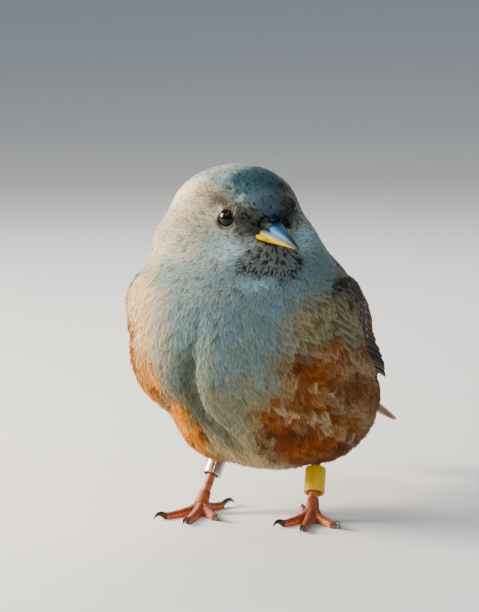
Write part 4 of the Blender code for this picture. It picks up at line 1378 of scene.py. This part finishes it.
def feather_roots(coat, draw):
    """Places of the body's feathers: densest on the face, none on the bill, eyes, wings, tail or legs."""
    places = coat.strewn(STREWN, draw)
    near_head = coat.strewn(STREWN_ON_HEAD, draw)
    places = np.vstack((places, near_head[headness(near_head) > 0.3]))
    places = places[draw.permutation(len(places))]
    hard = ["bill_upper", "bill_lower", "shank_left", "shank_right", "ring_metal", "ring_yellow", "tail"]
    nodes = nearest_nodes([*FLESH, *WINGS, *hard], places)
    along, above = wing_place(places)
    on_wing = np.char.startswith(nodes, "wing")
    bend = np.interp(above, (-9, -7, -3, 0, 3.6, 7), (17, 14, 11, 7, 2.5, 1.5)) + 4.0 * (places[:, 0] < 0)
    covered = on_wing & ((along < bend) | ((along < 32) & (above > 8.6 - 0.04 * along)))
    good = (np.isin(nodes, FLESH) | covered) & outside_lids(places, coat) & ~in_bill(places, 0.15)
    places, on_wing = places[good], on_wing[good]
    parting = nasal(places) * (1 - nasal(places))
    chosen = kept_apart(places, spacing_of(feather_length(places)) * (1 - 1.4 * parting))
    return places[chosen], on_wing[chosen]


def area_name(points):
    """The part of the body that each point belongs to, for the names of the coat's pieces."""
    dorsal = dot(points - BODY_MIDDLE, DORSAL)
    part = np.where(dorsal > 5, "back", np.where(points[:, 2] > 38, "breast", "belly"))
    part = np.where(headness(points) > 0.4, "head", part)
    aside = np.where(part == "head", in_head(points)[:, 1], points[:, 0])
    return np.char.add(np.char.add(part, "_"), np.where(aside > 0, "left", "right"))


def plumage(coat, skin_map, look):
    """All the body's feathers, in pieces by area and build."""
    draw = np.random.default_rng(SEED)
    roots, on_wing = feather_roots(coat, draw)
    lengths, areas = feather_length(roots), area_name(roots)
    shortest = 0.0
    for build, (longest, per_side, joints, thickness, rows) in BUILDS.items():
        chosen = (lengths >= shortest) & (lengths < longest)
        shortest = longest
        each = 2 * (2 * per_side * joints + 2 * rows)  # triangles of one feather
        for area in sorted(set(areas[chosen])):
            own = np.flatnonzero(chosen & (areas == area))
            for part, some in enumerate(np.array_split(own, -(-len(own) * each // MOST_TRIANGLES))):
                batch = Feathers(coat, skin_map, roots[some], draw, OVER_WING * on_wing[some])
                shape = joined([vanes(batch, rows), barbs(batch, per_side, joints, thickness, draw)])
                name = f"coat_{area}_{build}_{part + 1}"
                show(name, mesh_of(name, *shape), look)


# --- finishes ---
def finish_named(name, roughness, **settings):
    """A new material, its node tree and its shader, with constant values set on the shader itself."""
    look = bpy.data.materials.new(name)
    look.use_nodes = True
    tree = look.node_tree
    shader = tree.nodes["Principled BSDF"]
    shader.inputs["Roughness"].default_value = roughness
    for key, value in settings.items():
        shader.inputs[key.replace("_", " ")].default_value = value
    return look, tree, shader


def grain_of(tree, scale, detail=3.0):
    """A fine noise over the piece, from 0 to 1."""
    noise = tree.nodes.new("ShaderNodeTexNoise")
    noise.inputs["Scale"].default_value = scale
    noise.inputs["Detail"].default_value = detail
    place = tree.nodes.new("ShaderNodeTexCoord")
    tree.links.new(place.outputs["Object"], noise.inputs["Vector"])
    return noise.outputs["Fac"]


def brightened(tree, colour, factor, low, high):
    """The colour, made darker or lighter between two factors as a 0 to 1 value says."""
    span = tree.nodes.new("ShaderNodeMapRange")
    span.inputs["To Min"].default_value = low
    span.inputs["To Max"].default_value = high
    tree.links.new(factor, span.inputs["Value"])
    scale = tree.nodes.new("ShaderNodeVectorMath")
    scale.operation = "SCALE"
    tree.links.new(colour, scale.inputs[0])
    tree.links.new(span.outputs["Result"], scale.inputs["Scale"])
    return scale.outputs["Vector"]


def grained(name, roughness, scale, strength, depth, contrast=(0.9, 1.1), detail=4.0, **settings):
    """A finish in the piece's own colours, which a fine grain darkens, lightens and raises."""
    look, tree, shader = finish_named(name, roughness, **settings)
    grain = grain_of(tree, scale, detail)
    own = tree.nodes.new("ShaderNodeAttribute")
    own.attribute_name = "tint"
    tree.links.new(brightened(tree, own.outputs["Color"], grain, *contrast), shader.inputs["Base Color"])
    bump = tree.nodes.new("ShaderNodeBump")
    bump.inputs["Strength"].default_value = strength
    bump.inputs["Distance"].default_value = depth * MM
    tree.links.new(grain, bump.inputs["Height"])
    tree.links.new(bump.outputs["Normal"], shader.inputs["Normal"])
    return look


# --- stage ---
CAMERA_BACK = Vector((0.3549, -0.9245, 0.1392))  # towards the camera: azimuth 21, elevation 8 degrees
CAMERA_ACROSS = Vector((0.9336, 0.3584, 0.0))
CAMERA_UP = Vector((-0.0499, 0.1299, 0.9903))
AIM_ACROSS, AIM_UP = -2.6, 53.5  # where the picture's middle lies in the bird's frame
PICTURE_HEIGHT = 153.0
CAMERA_DISTANCE = 1500.0
LIT_MIDDLE = Vector((0, -0.01, 0.05))  # what the lamps look at, in metres


def area_light(name, towards, size, power, colour, away=0.55):
    """A soft square lamp that looks at the bird from the given direction."""
    light = bpy.data.lights.new(name, "AREA")
    light.energy, light.size, light.color = power, size, colour
    lamp = bpy.data.objects.new(name, light)
    bpy.context.scene.collection.objects.link(lamp)
    direction = Vector(towards).normalized()
    lamp.location = LIT_MIDDLE + direction * away
    lamp.rotation_euler = direction.to_track_quat("Z", "Y").to_euler()


def stage():
    """A plain pale floor and soft studio light, warm from the bird's right as in the picture."""
    bpy.ops.mesh.primitive_plane_add(size=60.0)
    floor = bpy.context.active_object
    floor.name = "floor"
    look, tree, shader = finish_named("floor", 0.85)
    base = tree.nodes.new("ShaderNodeRGB")
    base.outputs[0].default_value = (0.74, 0.75, 0.76, 1)
    colour = brightened(tree, base.outputs[0], grain_of(tree, 60.0), 0.97, 1.03)
    tree.links.new(colour, shader.inputs["Base Color"])
    floor.data.materials.append(look)
    world = bpy.data.worlds.new("studio")
    world.use_nodes = True
    sky = world.node_tree.nodes["Background"]
    sky.inputs["Color"].default_value = (0.66, 0.78, 0.90, 1)
    sky.inputs["Strength"].default_value = 0.36
    bpy.context.scene.world = world
    area_light("key", (-0.93, -0.24, 0.36), 0.26, 13.5, (1.0, 0.85, 0.67))
    area_light("fill", (-0.25, -0.8, 0.75), 0.4, 2.0, (0.80, 0.90, 1.0), 0.8)
    area_light("side", (0.75, -0.6, 0.35), 0.5, 1.6, (0.74, 0.87, 1.0), 0.8)
    area_light("rim", (-0.4, 0.8, 0.6), 0.3, 2.0, (1.0, 0.94, 0.86))


def camera():
    """A camera with a long lens, at the photograph's angle."""
    data = bpy.data.cameras.new("camera")
    data.sensor_fit = "VERTICAL"
    data.sensor_height = data.sensor_width = 36.0
    data.lens = data.sensor_height * CAMERA_DISTANCE / PICTURE_HEIGHT
    data.clip_start, data.clip_end = 0.05, 20.0
    seen_from = bpy.data.objects.new("camera", data)
    bpy.context.scene.collection.objects.link(seen_from)
    aim = Vector(BIRD) + CAMERA_ACROSS * AIM_ACROSS + CAMERA_UP * AIM_UP
    seen_from.location = (aim + CAMERA_BACK * CAMERA_DISTANCE) * MM
    seen_from.rotation_euler = CAMERA_BACK.to_track_quat("Z", "Y").to_euler()
    bpy.context.scene.camera = seen_from


# --- the bird ---
def body():
    """The skin, and the coat over it."""
    coat = coat_surface()
    mesh, surface = skin_mesh()
    look = grained("skin", 0.9, 900.0, 0.5, 0.2, (0.75, 1.15), 3.0, Specular_IOR_Level=0.2)
    unwrapped(show("skin", mesh, look, FLESH))
    mesh.calc_loop_triangles()
    tinted(mesh, markings(surface.points).centre * 0.5)
    look = grained("plumage", 0.88, 1400.0, 0.35, 0.12, (0.86, 1.14), 3.0,
                   Specular_IOR_Level=0.12, Sheen_Weight=0.04, Sheen_Roughness=0.5)
    plumage(coat, SkinMap(mesh, surface), look)


def hard_pieces():
    """Everything but the skin and the body's feathers."""
    glassy = grained("eye", 0.17, 300.0, 0.02, 0.01, Specular_IOR_Level=0.2)
    bare = grained("bare_skin", 0.6, 1500.0, 0.3, 0.05)
    upper = grained("bill_horn", 0.5, 900.0, 0.12, 0.05, Specular_IOR_Level=0.16)
    lower = grained("yellow_horn", 0.6, 900.0, 0.12, 0.05, Specular_IOR_Level=0.04)
    legs = grained("leg_skin", 0.46, 1300.0, 0.25, 0.05, Subsurface_Weight=0.2, Subsurface_Scale=0.0006)
    nails = grained("claw_horn", 0.32, 1200.0, 0.2, 0.04)
    plastic = grained("yellow_plastic", 0.38, 700.0, 0.12, 0.04, Subsurface_Weight=0.15,
                      Subsurface_Scale=0.0005)
    metal = grained("ring_aluminium", 0.34, 1600.0, 0.2, 0.03, Metallic=1.0)
    feather = grained("flight_feather", 0.6, 1500.0, 0.25, 0.05, Specular_IOR_Level=0.12)
    half_bill("bill_upper", 1, upper)
    tail(feather)
    half_bill("bill_lower", -1, lower)
    for side in SIGN:
        eyeball(side, glassy)
        lid(side, bare)
        gape(side, lower)
        wing(side, feather)
        shank(side, legs)
        foot(side, legs)
        for toe in TOES:
            claw(side, toe, nails)
    leg_ring("band_yellow", "ring_yellow", YELLOW_RING, 0.9, 0.0, srgb(238, 190, 6), plastic)
    leg_ring("band_metal", "ring_metal", METAL_RING, 0.0, 0.035, srgb(196, 202, 206), metal)


def main():
    """Builds everything: the hard pieces, the body, the stage and the camera."""
    hard_pieces()
    body()
    stage()
    camera()


main()
